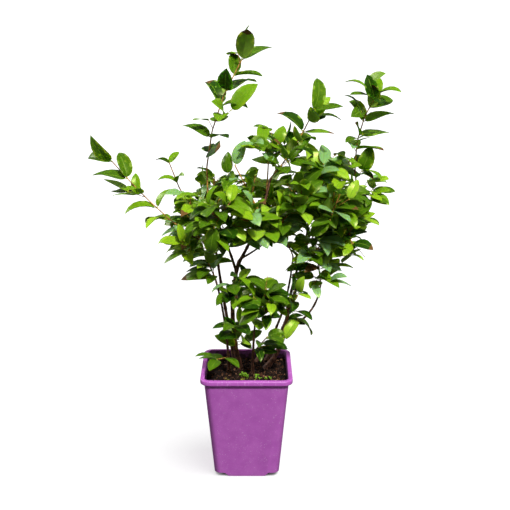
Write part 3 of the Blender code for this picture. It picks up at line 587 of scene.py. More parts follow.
class Finish:
    """A material whose pattern is written as sums of its nodes' outputs."""

    def __init__(self, name, colour, roughness, **plain):
        self.material = bpy.data.materials.new(name)
        self.material.use_nodes = True
        self.material.diffuse_color = (*colour, 1)
        self.tree = self.material.node_tree
        self.shader = self.tree.nodes["Principled BSDF"]
        self.feed(self.shader.inputs["Base Color"], tuple(colour))
        self.feed(self.shader.inputs["Roughness"], roughness)
        for socket, value in plain.items():
            self.feed(self.shader.inputs[socket.replace("_", " ")], value)

    def feed(self, socket, value):
        """Links a signal to a socket, or sets the socket's own value."""
        if isinstance(value, Signal):
            self.tree.links.new(value.socket, socket)
        elif socket.type == "RGBA":
            socket.default_value = (*value, 1)
        else:
            socket.default_value = value

    def node(self, kind, settings=None, values=None, output=0):
        """Adds a node, with its settings first and then its sockets, and gives its output."""
        made = self.tree.nodes.new("ShaderNode" + kind)
        for name, value in (settings or {}).items():
            setattr(made, name, value)
        for name, value in (values or {}).items():
            self.feed(made.inputs[name], value)
        return Signal(self, made.outputs[output])

    def maths(self, operation, first, second):
        return self.node("Math", {"operation": operation}, {0: first, 1: second})

    def place(self, stretch=(1, 1, 1)):
        """The place on the piece, drawn out along each axis."""
        where = self.node("TexCoord", output="Object")
        return self.node("Mapping", None, {"Vector": where, "Scale": stretch})

    def height(self):
        """How high the place on the piece is."""
        return self.node("SeparateXYZ", None, {"Vector": self.place()}, 2)

    def clouds(self, scale, detail=3.0, stretch=(1, 1, 1)):
        """Soft noise from 0 to 1, with `scale` cells to the metre."""
        values = {"Vector": self.place(stretch), "Scale": scale, "Detail": detail}
        return self.node("TexNoise", None, values)

    def specks(self, scale):
        """The distance to the nearest of many scattered spots, in cells."""
        return self.node("TexVoronoi", None, {"Vector": self.place(), "Scale": scale})

    def mixed(self, share, first, second):
        """A colour between two others."""
        values = {"Factor": share, "A": first, "B": second}
        made = self.tree.nodes.new("ShaderNodeMix")
        made.data_type = "RGBA"
        for socket in made.inputs:
            if socket.enabled and socket.name in values:
                self.feed(socket, values[socket.name])
        return Signal(self, next(out for out in made.outputs if out.enabled))

    def colour(self, signal):
        self.feed(self.shader.inputs["Base Color"], signal)

    def rough(self, signal):
        self.feed(self.shader.inputs["Roughness"], signal)

    def relief(self, height, depth):
        """Bumps as high as `depth` metres where the signal is 1."""
        values = {"Height": height, "Distance": depth, "Strength": 1.0}
        self.feed(self.shader.inputs["Normal"], self.node("Bump", None, values))


def shaded(colour, share):
    """A colour made darker or brighter by a share."""
    return [part * share for part in colour]


RIM_SHADE_BAND = (0.0095, 0.008)  # how far below the pot's top the rim's painted shade starts, and is full


def pot_plastic(pot):
    """Purple plastic with a fine moulded grain, pale dust and specks, scuffed edges, and a darker rim that
    is painted shade.
    """
    finish = Finish("pot_plastic", pot.colour, roughness=0.45)
    grain = finish.clouds(scale=1100.0, detail=2.0)
    clouds = finish.clouds(scale=55.0, detail=6.0)
    dust = finish.clouds(scale=240.0, detail=5.0).over(0.56, 0.80)
    specks = 1 - finish.specks(scale=330.0).over(0.08, 0.22)
    few = finish.clouds(scale=110.0, detail=2.0).over(0.48, 0.56)
    rim = finish.height().over(POT_HEIGHT - RIM_SHADE_BAND[0], POT_HEIGHT - RIM_SHADE_BAND[1])
    scuffs = rim * finish.clouds(scale=300.0, detail=4.0, stretch=(1, 1, 0.4)).over(0.60, 0.72)
    body = finish.mixed(clouds.over(0.3, 0.7), pot.colour, pot.cloud_colour)
    body = finish.mixed(grain.over(0.3, 0.7) * 0.25, body, shaded(pot.colour, 0.6))
    # The rim turns darker: painted shade.
    body = finish.mixed(rim, body, pot.rim_shade_colour)
    body = finish.mixed(dust * 0.16 + scuffs * 0.4, body, pot.scuff_colour)
    finish.colour(finish.mixed(specks * few * 0.9, body, pot.scuff_colour))
    finish.rough(0.36 + clouds * 0.10 + dust * 0.2)
    finish.relief(grain + specks * 0.3 + clouds * 2, depth=0.00012)
    return finish.material


def pot_inside_finish(pot):
    """The pot's inner walls: a deeper purple that is painted shade, darker still towards the soil, partly
    splashed compost stains and partly painted shade.
    """
    finish = Finish("pot_inside", pot.inside_shade_colour, roughness=0.55)
    # Darker towards the soil: partly compost stains, partly painted shade.
    low = 1 - finish.height().over(SOIL_LEVEL - 0.001, POT_HEIGHT)
    stains_and_shade = (finish.clouds(scale=170.0, detail=5.0) + low * 0.35).over(0.55, 0.85)
    finish.colour(finish.mixed(stains_and_shade, pot.inside_shade_colour, pot.stain_and_shade_colour))
    finish.rough(0.5 + stains_and_shade * 0.3)
    finish.relief(finish.clouds(scale=900.0) + stains_and_shade, depth=0.00015)
    return finish.material


def compost_finish(name, colour, light):
    """Crumbly dark compost with paler fibres of peat."""
    finish = Finish(name, colour, roughness=0.95, Specular_IOR_Level=0.15)
    crumbs = finish.clouds(scale=520.0, detail=6.0)
    flecks = finish.clouds(scale=1100.0, stretch=(1, 0.3, 1)).over(0.60, 0.70)
    body = finish.mixed(crumbs.over(0.40, 0.75), colour, shaded(colour, 2.2))
    finish.colour(finish.mixed(flecks * 0.4, body, light))
    finish.relief(crumbs + flecks * 0.3, depth=0.0012)
    return finish.material


def bark_finish(bark):
    """Dark brown bark with long cracks and grey-tan flakes."""
    finish = Finish("old_bark", bark.colour, roughness=0.85)
    ridges = finish.clouds(scale=620.0, detail=5.0, stretch=(1, 1, 0.16))
    flakes = finish.clouds(scale=260.0, detail=4.0, stretch=(1, 1, 0.35)).over(0.52, 0.66)
    body = finish.mixed(ridges.over(0.35, 0.7), bark.crack_colour, bark.colour)
    finish.colour(finish.mixed(flakes * 0.5, body, bark.flake_colour))
    finish.rough(0.72 + flakes * 0.2)
    finish.relief(ridges + flakes * 0.5, depth=0.0007)
    return finish.material


def twig_finish(name, colour, old_colour):
    """Smooth young bark, with red-brown strips over tan."""
    finish = Finish(name, colour, roughness=0.6, Specular_IOR_Level=0.25)
    strips = finish.clouds(scale=420.0, stretch=(1, 1, 0.2)).over(0.42, 0.62)
    finish.colour(finish.mixed(strips, colour, old_colour))
    finish.relief(strips, depth=0.0002)
    return finish.material


SHEEN = (0.96, 1.0, 0.42)  # the tint of a leaf's gloss


def leaf_finish(name, colour, roughness, glow):
    """A leaf's plain green, which lets some light through, with a finely netted gloss."""
    finish = Finish(
        name,
        colour,
        roughness,
        Specular_IOR_Level=0.36,
        Specular_Tint=SHEEN,
        Subsurface_Weight=glow,
        Subsurface_Scale=0.002,
        Subsurface_Radius=(0.7, 1.0, 0.08),
    )
    finish.rough(roughness - 0.10 + finish.clouds(scale=160.0, detail=2.0) * 0.2)
    finish.relief(finish.clouds(scale=700.0, detail=2.0), depth=0.00012)
    return finish.material


# Settings that the panel shows


def length_setting(name, description, default):
    return FloatProperty(name=name, description=description, default=default, unit="LENGTH")


def angle_setting(name, description, default):
    return FloatProperty(name=name, description=description, default=default, subtype="ANGLE")


def share_setting(name, description, default):
    return FloatProperty(name=name, description=description, default=default, subtype="FACTOR")


def number_setting(name, description, default):
    return FloatProperty(name=name, description=description, default=default)


def count_setting(name, description, default):
    return IntProperty(name=name, description=description, default=default)


def colour_setting(name, description, default):
    return FloatVectorProperty(name=name, description=description, default=default, subtype="COLOR")


class PotSettings(bpy.types.PropertyGroup):
    """Sizes and colours of the pot."""

    base: length_setting("Base", "Outer width at the foot", 0.107)
    corner: length_setting("Corner", "Radius of the upright corners", 0.011)
    rim_height: length_setting("Rim height", "Height of the thick rim", 0.0085)
    rim_round: length_setting("Rim rounding", "Radius of the rim's edges", 0.0022)
    wall: length_setting("Wall", "Wall thickness", 0.0015)
    floor: length_setting("Floor", "Floor thickness", 0.002)
    lift: length_setting("Corner lift", "Height of the lifted corners", 0.006)
    colour: colour_setting("Plastic", "Colour of the wall", (0.475, 0.110, 0.49))
    cloud_colour: colour_setting("Clouding", "Paler clouds in it", (0.54, 0.138, 0.55))
    # The rim's colour is darker than the wall's: painted shade.
    rim_shade_colour: colour_setting("Rim", "Colour of the rim", (0.400, 0.090, 0.41))
    # The inner walls' colour is painted shade; the stains are partly splashed compost and partly painted
    # shade.
    inside_shade_colour: colour_setting("Inside", "Colour of the inner walls", (0.17, 0.028, 0.19))
    stain_and_shade_colour: colour_setting("Stains", "Splashed compost inside", (0.045, 0.012, 0.035))
    scuff_colour: colour_setting("Scuffs", "Colour of specks and scuffs", (0.72, 0.44, 0.72))


class CompostSettings(bpy.types.PropertyGroup):
    """Counts and colours of the compost and what lies and grows on it."""

    crumbs: count_setting("Crumbs", "How many loose crumbs", 1100)
    fibres: count_setting("Fibres", "How many root fibres", 150)
    chips: count_setting("Chips", "How many bark chips", 110)
    colour: colour_setting("Compost", "Colour of moist compost", (0.0045, 0.0020, 0.0012))
    light_colour: colour_setting("Peat", "Colour of dry peat", (0.10, 0.040, 0.018))
    chip_colour: colour_setting("Chips", "Colour of bark chips", (0.17, 0.082, 0.042))
    seedling_colour: colour_setting("Seedlings", "Colour of tiny seedlings", (0.16, 0.34, 0.02))
    moss_colour: colour_setting("Moss", "Colour of moss", (0.30, 0.30, 0.04))


class BarkSettings(bpy.types.PropertyGroup):
    """Relief and colours of the old bark, the twigs and the buds."""

    relief: length_setting("Relief", "Depth of the cracks", 0.00045)
    colour: colour_setting("Bark", "Colour of old bark", (0.190, 0.072, 0.034))
    crack_colour: colour_setting("Cracks", "Colour in the cracks", (0.040, 0.015, 0.008))
    flake_colour: colour_setting("Flakes", "Colour of flakes", (0.40, 0.190, 0.100))
    twig_colour: colour_setting("Twigs", "Colour of young twigs", (0.50, 0.27, 0.050))
    twig_old_colour: colour_setting("Twig strips", "Colour of older strips", (0.15, 0.042, 0.014))
    bud_colour: colour_setting("Buds", "Colour of buds and leaf stalks", (0.40, 0.42, 0.04))


class LeafSettings(bpy.types.PropertyGroup):
    """Colours of the leaves, dealt out by spray, and how many have brown tips."""

    deep: colour_setting("Deep", "Dark green leaves", (0.016, 0.056, 0.002))
    forest: colour_setting("Forest", "Middling green leaves", (0.062, 0.146, 0.004))
    grass: colour_setting("Grass", "Light green leaves", (0.140, 0.285, 0.007))
    fresh: colour_setting("Fresh", "Yellow-green leaves", (0.220, 0.390, 0.010))
    cool: colour_setting("Cool", "Bluish green leaves", (0.200, 0.380, 0.125))
    young: colour_setting("Young", "Leaves at the tips", (0.280, 0.480, 0.025))
    back: colour_setting("Underside", "Undersides", (0.190, 0.320, 0.034))
    rib: colour_setting("Rib", "Middle ribs", (0.145, 0.265, 0.015))
    brown: colour_setting("Brown", "Dead tips and leaves", (0.130, 0.062, 0.016))
    brown_share: share_setting("Brown tips", "Share of large leaves with a brown tip", 0.06)
    shoot_brown_share: share_setting("Brown tips on shoots", "The same on the bare long shoots", 0.28)


class StageSettings(bpy.types.PropertyGroup):
    """The floor, the lights and the camera."""

    floor: length_setting("Floor", "Radius of the level floor", 5.0)
    key: number_setting("Key light", "Strength of the crisp light", 3.45)
    key_size: angle_setting("Key softness", "Angle that the crisp light fills", 0.07)
    soft: number_setting("Soft light", "Strength of the soft light", 1.5)
    soft_size: angle_setting("Soft angle", "Angle that the soft light fills", 0.6)
    fill: number_setting("Fill light", "Strength of the light from the left", 1.9)
    back: number_setting("Back light", "Strength of the light from behind", 1.6)
    ground: number_setting("Floor light", "Strength of the floor's light", 2.8)
    ground_size: angle_setting("Floor light's angle", "Angle that it fills", 0.9)
    sky: number_setting("Sky", "Strength of the light all round", 0.12)
    distance: length_setting("Distance", "Camera's distance in front", 1.415)
    height: length_setting("Height", "Camera's height", 0.74)
    tilt: angle_setting("Tilt", "Camera's downward tilt", math.radians(14.72))
    lens: number_setting("Lens", "Focal length in millimetres", 63.5)
    aside: length_setting("Aside", "Camera's place to the right", 0.0138)


def deselect():
    bpy.ops.object.select_all(action="DESELECT")


def apply_modifier(item, kind, **settings):
    """Adds a modifier to an object and applies it."""
    deselect()
    item.select_set(True)
    bpy.context.view_layer.objects.active = item
    bpy.ops.object.modifier_add(type=kind)
    modifier = item.modifiers[-1]
    for name, value in settings.items():
        setattr(modifier, name, value)
    bpy.ops.object.modifier_apply(modifier=modifier.name)


def combine(item, tool, operation):
    """Cuts or joins an object with another, which is then removed."""
    apply_modifier(item, "BOOLEAN", operation=operation, object=tool, solver="EXACT")
    bpy.data.objects.remove(tool)


def pick_edges(item, test):
    """In edit mode, selects the edges whose two ends pass a test."""
    bpy.ops.mesh.select_mode(type="EDGE")
    bpy.ops.mesh.select_all(action="DESELECT")
    body = bmesh.from_edit_mesh(item.data)
    for edge in body.edges:
        edge.select_set(test(edge.verts[0].co, edge.verts[1].co))
    bmesh.update_edit_mesh(item.data)


def settle(item, angle=35):
    """Puts an object's place into its mesh, and shades it smooth up to an angle."""
    deselect()
    item.select_set(True)
    bpy.context.view_layer.objects.active = item
    bpy.ops.object.transform_apply(location=True, rotation=True, scale=True)
    bpy.ops.object.shade_smooth_by_angle(angle=math.radians(angle))
    return item


def dress(item, materials, slot, *nodes):
    """Gives a finished piece its finishes and its place in the frame, and hides the parts it stands for."""
    for material in materials:
        item.data.materials.append(material)
    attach(item, "root")
    if nodes:
        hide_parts(*nodes)


class Heap:
    """Points and faces of many small shapes, joined to one piece."""

    def __init__(self):
        self.points = []
        self.faces = []
        self.finishes = []

    def add(self, points, faces, finishes):
        """Adds shapes: points as rows, faces as tuples of their numbers, and a finish a face."""
        first = len(self.points)
        self.points += [tuple(point) for point in points]
        self.faces += [tuple(first + corner for corner in face) for face in faces]
        self.finishes += list(finishes)

    def piece(self, name, angle=50):
        """The heap as an object at the origin, smooth up to an angle."""
        mesh = bpy.data.meshes.new(name)
        mesh.from_pydata(self.points, [], self.faces)
        mesh.polygons.foreach_set("material_index", self.finishes)
        mesh.shade_smooth()
        mesh.set_sharp_from_angle(angle=math.radians(angle))
        item = bpy.data.objects.new(name, mesh)
        bpy.context.scene.collection.objects.link(item)
        return item


def ring_faces(rings, sides):
    """Faces of a closed tube of rings, its ends capped."""
    faces = []
    for ring in range(rings - 1):
        for side in range(sides):
            after = (side + 1) % sides
            faces.append(
                (
                    ring * sides + side,
                    ring * sides + after,
                    (ring + 1) * sides + after,
                    (ring + 1) * sides + side,
                )
            )
    faces.append(tuple(reversed(range(sides))))
    faces.append(tuple((rings - 1) * sides + side for side in range(sides)))
    return faces


def ring_points(line, radii, sides):
    """Points of the rings of a tube along a line, turned as little as the line lets them."""
    points = []
    across = crosswise((line[1] - line[0]).normalized(), 0.0)
    for place, radius, before, after in zip(line, radii, [line[0], *line], [*line[1:], line[-1]]):
        heading = (after - before).normalized()
        across = (across - heading * across.dot(heading)).normalized()
        upright = heading.cross(across)
        for side in range(sides):
            turn = 2 * math.pi * side / sides
            points.append(place + (across * math.cos(turn) + upright * math.sin(turn)) * radius)
    return points


def add_rod(heap, line, radii, sides):
    """Adds a closed tapered rod along a line of points."""
    faces = ring_faces(len(line), sides)
    heap.add(ring_points(line, radii, sides), faces, [0] * len(faces))


def wall_half_width(pot, height):
    """Half the pot's outer width at a height, under its rim."""
    under_rim = RIM_WIDTH / 2 - RIM_OVERHANG
    return pot.base / 2 + (under_rim - pot.base / 2) * height / POT_HEIGHT


CORNER_STEPS = 8
RIM_STEPS = 4
LEVEL_SLACK = 0.0001  # how far a level edge's two ends may differ in height


def block(name, low, high, bottom, top, corner):
    """A square block with round upright corners, tapered between two half widths."""
    deselect()
    middle, half = (bottom + top) / 2, (top - bottom) / 2
    bpy.ops.mesh.primitive_cube_add(size=2, location=(0, 0, middle), scale=(low, low, half))
    item = bpy.context.object
    item.name = name
    bpy.ops.object.transform_apply(location=True, rotation=True, scale=True)
    bpy.ops.object.mode_set(mode="EDIT")
    pick_edges(item, lambda a, b: a.z > middle and b.z > middle)
    bpy.ops.transform.resize(value=(high / low, high / low, 1), center_override=(0, 0, top))
    pick_edges(item, lambda a, b: abs(a.z - b.z) > half)
    bpy.ops.mesh.bevel(offset=corner, offset_type="OFFSET", segments=CORNER_STEPS, affect="EDGES")
    bpy.ops.object.mode_set(mode="OBJECT")
    return item


def round_levels(item, radius):
    """Rounds a block's top and bottom edges."""
    bpy.context.view_layer.objects.active = item
    bpy.ops.object.mode_set(mode="EDIT")
    pick_edges(item, lambda a, b: abs(a.z - b.z) < LEVEL_SLACK)
    bpy.ops.mesh.bevel(offset=radius, segments=RIM_STEPS, affect="EDGES")
    bpy.ops.object.mode_set(mode="OBJECT")


def pot_filling(pot, name, spare, floor, top):
    """The block inside the pot's walls, kept off them by `spare`."""
    low = wall_half_width(pot, floor) - pot.wall - spare
    high = wall_half_width(pot, top) - pot.wall - spare
    return block(name, low, high, floor, top, pot.corner - pot.wall)


LIFT_MIDDLE = 0.0575  # the middle of the cone that lifts a corner
CORNER_INSIDE = 0.036  # where a lifted corner starts, out from the middle
DRAIN_PLACE = 0.0425
DRAIN_RADIUS = 0.004
PAST = 0.001  # how far a cutting block runs on past what it cuts
EDGE_ROUND = 0.0005  # the small rounding of every edge that is sharper than EDGE_ANGLE
EDGE_ANGLE = math.radians(38)
INWARD = 0.3  # how squarely a face has to look at the pot's middle to count as inner wall


def four_corners(place):
    """The four points that far out along X and Y."""
    return [(x * place, y * place) for x in (-1, 1) for y in (-1, 1)]


def lift_corners(item, pot, grow):
    """Cuts the sloping spaces under the pot's lifted corners, larger all round by `grow`."""
    top = pot.lift + grow
    narrow = LIFT_MIDDLE - CORNER_INSIDE + grow
    wide = narrow + top + PAST
    for x, y in four_corners(LIFT_MIDDLE):
        deselect()
        bpy.ops.mesh.primitive_cone_add(
            vertices=4,
            radius1=wide * math.sqrt(2),
            radius2=narrow * math.sqrt(2),
            depth=top + PAST,
            location=(x, y, (top - PAST) / 2),
            rotation=(0, 0, math.pi / 4),
        )
        combine(item, bpy.context.object, "DIFFERENCE")


def drill(item, pot):
    """Makes the round hole through each lifted corner of the floor."""
    for x, y in four_corners(DRAIN_PLACE):
        deselect()
        bpy.ops.mesh.primitive_cylinder_add(
            vertices=24, radius=DRAIN_RADIUS, depth=4 * pot.floor, location=(x, y, pot.lift)
        )
        combine(item, bpy.context.object, "DIFFERENCE")


def mark_inside(shell, pot):
    """Gives the inner walls the second finish, which paints shade on them."""
    for face in shell.data.polygons:
        outward = face.normal.x * face.center.x + face.normal.y * face.center.y
        inward = outward < -INWARD * pot.base / 2
        face.material_index = int(inward and pot.floor < face.center.z < POT_HEIGHT - pot.rim_round)


def make_pot(pot):
    """The pot: thin tapered walls, a thick rolled rim and a floor with lifted corners."""
    half = RIM_WIDTH / 2
    under_rim = POT_HEIGHT - PAST
    shell = block("pot_shell", pot.base / 2, wall_half_width(pot, under_rim), 0, under_rim, pot.corner)
    rim = block("rim", half, half, POT_HEIGHT - pot.rim_height, POT_HEIGHT, pot.corner + RIM_OVERHANG)
    round_levels(rim, pot.rim_round)
    combine(shell, rim, "UNION")
    lift_corners(shell, pot, grow=0)
    hollow = pot_filling(pot, "hollow", 0, pot.floor, POT_HEIGHT + PAST)
    lift_corners(hollow, pot, grow=pot.floor)
    combine(shell, hollow, "DIFFERENCE")
    drill(shell, pot)
    apply_modifier(
        shell, "BEVEL", width=EDGE_ROUND, segments=2, limit_method="ANGLE", angle_limit=EDGE_ANGLE
    )
    dress(settle(shell, angle=30), [pot_plastic(pot), pot_inside_finish(pot)], "pot", "pot")
    mark_inside(shell, pot)


SOIL_CELLS = 110
SOIL_LUMPS, SOIL_LUMP_HEIGHT = 48.0, 0.0022  # how many to the metre, and how high
SOIL_CRUMBS, SOIL_CRUMB_HEIGHT = 300.0, 0.0015
SOIL_DETAIL = (0.7, 2.1, 4)  # of the crumbs: roughness, step between sizes, and count of sizes
SOIL_SINK = 0.0006
LUMP_SLICE, CRUMB_SLICE = 0.3, 0.7  # at which heights the noise is read


def soil_height(x, y):
    """How far the compost's top stands over its level at a place."""
    lumps = noise.noise(Vector((x, y, LUMP_SLICE)) * SOIL_LUMPS)
    crumbs = noise.fractal(Vector((x, y, CRUMB_SLICE)) * SOIL_CRUMBS, *SOIL_DETAIL)
    return SOIL_LUMP_HEIGHT * lumps + SOIL_CRUMB_HEIGHT * crumbs - SOIL_SINK


def make_compost(pot, compost):
    """The compost that fills the pot, with a lumpy top."""
    deselect()
    bpy.ops.mesh.primitive_grid_add(
        x_subdivisions=SOIL_CELLS, y_subdivisions=SOIL_CELLS, size=RIM_WIDTH, location=(0, 0, SOIL_LEVEL)
    )
    bed = bpy.context.object
    bed.name = "compost_bed"
    bpy.ops.object.transform_apply(location=True, rotation=True, scale=True)
    for point in bed.data.vertices:
        point.co.z += soil_height(point.co.x, point.co.y)
    bpy.ops.object.mode_set(mode="EDIT")
    bpy.ops.mesh.select_all(action="SELECT")
    bpy.ops.mesh.region_to_loop()
    bpy.ops.mesh.extrude_edges_move(TRANSFORM_OT_translate={"value": (0, 0, -SOIL_LEVEL)})
    bpy.ops.transform.resize(value=(1, 1, 0), center_override=(0, 0, 0))
    bpy.ops.mesh.edge_face_add()
    bpy.ops.mesh.select_all(action="SELECT")
    bpy.ops.mesh.normals_make_consistent(inside=False)
    bpy.ops.object.mode_set(mode="OBJECT")
    floor = pot.floor + CLEARANCE
    combine(bed, pot_filling(pot, "inside", CLEARANCE, floor, POT_HEIGHT), "INTERSECT")
    lift_corners(bed, pot, grow=floor)
    finish = compost_finish("compost", compost.colour, compost.light_colour)
    dress(settle(bed, angle=80), [finish], "compost", "compost")


def lump_shape():
    """The points and faces of a small rough lump, one unit in radius."""
    deselect()
    bpy.ops.mesh.primitive_ico_sphere_add(subdivisions=1, radius=1, location=(0, 0, 0))
    lump = bpy.context.object
    points = np.array([point.co for point in lump.data.vertices])
    faces = [tuple(face.vertices) for face in lump.data.polygons]
    bpy.data.objects.remove(lump)
    return points, faces


# What lies on the compost
LITTER_SEED = 5
LITTER_MARGIN = 0.004  # how far it keeps off the pot's walls
LITTER_MIX = (0, 0, 1)  # two of three in the first finish, one in the second
CORNER_SHARE, CORNER_START = 0.85, 0.006  # how the chips are drawn to the front right corner
CHIPS_IN_CORNER = 0.55
CRUMB_SIZE, CRUMB_GROWTH = 0.0006, 0.0019  # the smallest, and what the largest has over it
CRUMB_ROUGH = (0.7, 1.3)
CRUMB_LIFT = 0.3  # of its size
CHIP_LENGTHS = (0.0012, 0.0038)
CHIP_WIDTHS, CHIP_HEIGHT = (0.3, 0.6), 0.22  # of its length
CHIP_LIFT = 0.0008
FIBRE_STEPS, FIBRE_STEP = (4, 9), 0.003
FIBRE_MARGIN = 0.006
FIBRE_TURN = 0.6
FIBRE_LIFTS = (-0.0004, 0.0012)
FIBRE_RADII, FIBRE_TIP = (0.0002, 0.0004), 0.0001


def soil_place(rng, half, front_right=0.0):
    """A random place on the compost, drawn to the front right corner by a share."""
    x, y = rng.uniform(-half, half), rng.uniform(-half, half)
    if rng.random() < front_right:
        x, y = abs(x) * CORNER_SHARE + CORNER_START, -abs(y)
    return Vector((x, y, SOIL_LEVEL + soil_height(x, y)))


def turned(points, rng):
    """Points turned at random about the origin."""
    axis = Vector([rng.uniform(-1, 1) for _ in range(3)]).normalized()
    turn = np.array(Matrix.Rotation(rng.uniform(0, 2 * math.pi), 3, axis))
    return points @ turn.T


def add_litter(heap, points, faces, place, rng):
    """Adds a lump that is turned at random, at a place, in one of two finishes."""
    heap.add(turned(points, rng) + np.array(place), faces, [rng.choice(LITTER_MIX)] * len(faces))


def scatter_crumbs(count, lump, half, rng, finishes):
    """Loose crumbs: many small ones and a few large."""
    points, faces = lump
    heap = Heap()
    for _ in range(count):
        size = CRUMB_SIZE + CRUMB_GROWTH * rng.random() ** 3
        rough = points * np.array([[rng.uniform(*CRUMB_ROUGH)] for _ in points])
        place = soil_place(rng, half) + UP * size * CRUMB_LIFT
        add_litter(heap, rough * size, faces, place, rng)
    dress(heap.piece("compost_crumbs", angle=25), finishes, "compost")


def scatter_chips(count, lump, half, rng, finishes):
    """Flat chips of bark, most of them in the front right corner."""
    points, faces = lump
    heap = Heap()
    for _ in range(count):
        length = rng.uniform(*CHIP_LENGTHS)
        flat = points * np.array((length, length * rng.uniform(*CHIP_WIDTHS), length * CHIP_HEIGHT))
        place = soil_place(rng, half, CHIPS_IN_CORNER) + UP * CHIP_LIFT
        add_litter(heap, flat, faces, place, rng)
    dress(heap.piece("bark_chips", angle=25), finishes, "compost")


def fibre_line(half, rng):
    """A line that wanders over the compost."""
    line = [soil_place(rng, half - FIBRE_MARGIN)]
    heading = rng.uniform(0, 2 * math.pi)
    for _ in range(rng.randint(*FIBRE_STEPS)):
        heading += rng.uniform(-FIBRE_TURN, FIBRE_TURN)
        x = min(half, max(-half, line[-1].x + FIBRE_STEP * math.cos(heading)))
        y = min(half, max(-half, line[-1].y + FIBRE_STEP * math.sin(heading)))
        line.append(Vector((x, y, SOIL_LEVEL + soil_height(x, y) + rng.uniform(*FIBRE_LIFTS))))
    return line


def scatter_fibres(count, half, rng, finishes):
    """Fine root fibres."""
    heap = Heap()
    for _ in range(count):
        line = fibre_line(half, rng)
        add_rod(heap, line, taper(rng.uniform(*FIBRE_RADII), FIBRE_TIP, len(line)), sides=4)
    dress(heap.piece("root_fibres", angle=60), finishes, "compost")


def make_litter(pot, compost):
    """Loose crumbs, bark chips and fine root fibres on the compost."""
    half = wall_half_width(pot, SOIL_LEVEL) - pot.wall - LITTER_MARGIN
    rng = random.Random(LITTER_SEED)
    lump = lump_shape()
    peat_colour = compost.light_colour
    dark = compost_finish("dark_crumbs", compost.colour, peat_colour)
    peat = compost_finish("peat_crumbs", shaded(peat_colour, 0.45), compost.chip_colour)
    chips = compost_finish("bark_chips", compost.chip_colour, peat_colour)
    fibres = twig_finish("root_fibres", peat_colour, shaded(peat_colour, 0.5))
    scatter_crumbs(compost.crumbs, lump, half, rng, [dark, peat])
    scatter_chips(compost.chips, lump, half, rng, [chips, peat])
    scatter_fibres(compost.fibres, half, rng, [fibres])


def blade_columns():
    """Where each point of a leaf's cross-section lies across it, and how far over its middle."""
    across = [-1.0, *TOP_COLUMNS, 1.0, *UNDER_COLUMNS]
    lifts = [0.0, *[LEAF_BODY] * 4, 0.0, -LEAF_BODY, -LEAF_BACK, -LEAF_BODY]
    return np.array(across), np.array(lifts)


TOP, RIB_TOP, UNDER, TIP_TOP, TIP_UNDER = range(5)  # the parts of a blade


def blade_faces():
    """Faces of one leaf, and for each the part of the blade that it belongs to."""
    stations, edge = len(LEAF_OUTLINE), len(TOP_COLUMNS) + 1
    columns = edge + 1 + len(UNDER_COLUMNS)
    top = [(k, k + 1) for k in range(edge)]
    under = [(k, (k + 1) % columns) for k in range(edge, columns)]
    rib = len(top) // 2
    faces, parts = [], []

    def spot(station, column):
        """The number of a point; the stations before and after all are the leaf's two ends."""
        if station < 0:
            return 0
        return 1 + columns * stations if station == stations else 1 + station * columns + column

    for station in range(-1, stations):
        for number, (left, right) in enumerate(top + under):
            corners = (
                spot(station, left),
                spot(station + 1, left),
                spot(station + 1, right),
                spot(station, right),
            )
            faces.append(tuple(dict.fromkeys(corners)))
            tip = station >= stations - TIP_CELLS
            if number >= len(top):
                parts.append(TIP_UNDER if tip else UNDER)
            elif tip:
                parts.append(TIP_TOP)
            else:
                parts.append(RIB_TOP if number == rib else TOP)
    return faces, parts


def blade_heading(leaf):
    """Which way a blade runs from its stalk: as its leaf does, but more level."""
    return (leaf.along * Vector((1, 1, LEAF_REACH))).normalized()


def blade_axes(leaf, level):
    """Which way a blade runs, and which way it faces: turned to the sky by `level`."""
    ahead = blade_heading(leaf)
    up = leaf.face + UP * level
    up = (up - ahead * up.dot(ahead)).normalized()
    return np.array(ahead), np.array(up)


def blade_points(leaf, rng):
    """Points of one leaf: arched along its rib, folded at it, puckered, wavy and twisted."""
    arch, fold = rng.uniform(*LEAF_ARCH), rng.uniform(*LEAF_FOLD)
    curl, wave = rng.uniform(*LEAF_CURL), rng.uniform(*LEAF_WAVE)
    twist, phase = rng.uniform(*LEAF_TWIST), rng.uniform(0, 2 * math.pi)
    ahead, face = blade_axes(leaf, rng.uniform(*LEAF_LEVEL))
    sideways = np.cross(face, ahead)
    start = np.array(leaf.root) + ahead * leaf.length * PETIOLE
    length = leaf.length * (BLADE_LENGTH - PETIOLE)
    half = length * LEAF_WIDTH / 2 * rng.uniform(*BLADE_WIDTHS)
    columns, lifts = blade_columns()
    between = (np.abs(columns) > PUCKERED[0]) & (np.abs(columns) < PUCKERED[1])

    def middle(t):
        bend = arch * (t - ARCH_START)
        out = (math.sin(bend) + math.sin(arch * ARCH_START)) / arch
        rise = (math.cos(bend) - math.cos(arch * ARCH_START)) / arch
        return start + length * (ahead * out + face * rise)

    points = [middle(0.0)]
    for number, (t, share) in enumerate(LEAF_OUTLINE):
        bend, roll = arch * (t - ARCH_START), twist * (t - ARCH_START)
        normal = face * math.cos(bend) + ahead * math.sin(bend)
        across = sideways * math.cos(roll) + normal * math.sin(roll)
        normal = normal * math.cos(roll) - sideways * math.sin(roll)
        width = half * share
        ripple = wave * np.sin(phase + WAVES * t + EDGE_SHIFT * np.sign(columns))
        rise = np.abs(columns) * (math.sin(fold) + ripple) - curl * columns**2
        rise += between * LEAF_PUCKER * (1 - 2 * (number % 2))
        offsets = np.outer(columns * width * math.cos(fold), across) + np.outer(rise * width + lifts, normal)
        points += list(middle(t) + offsets)
    points.append(middle(1.0))
    return points


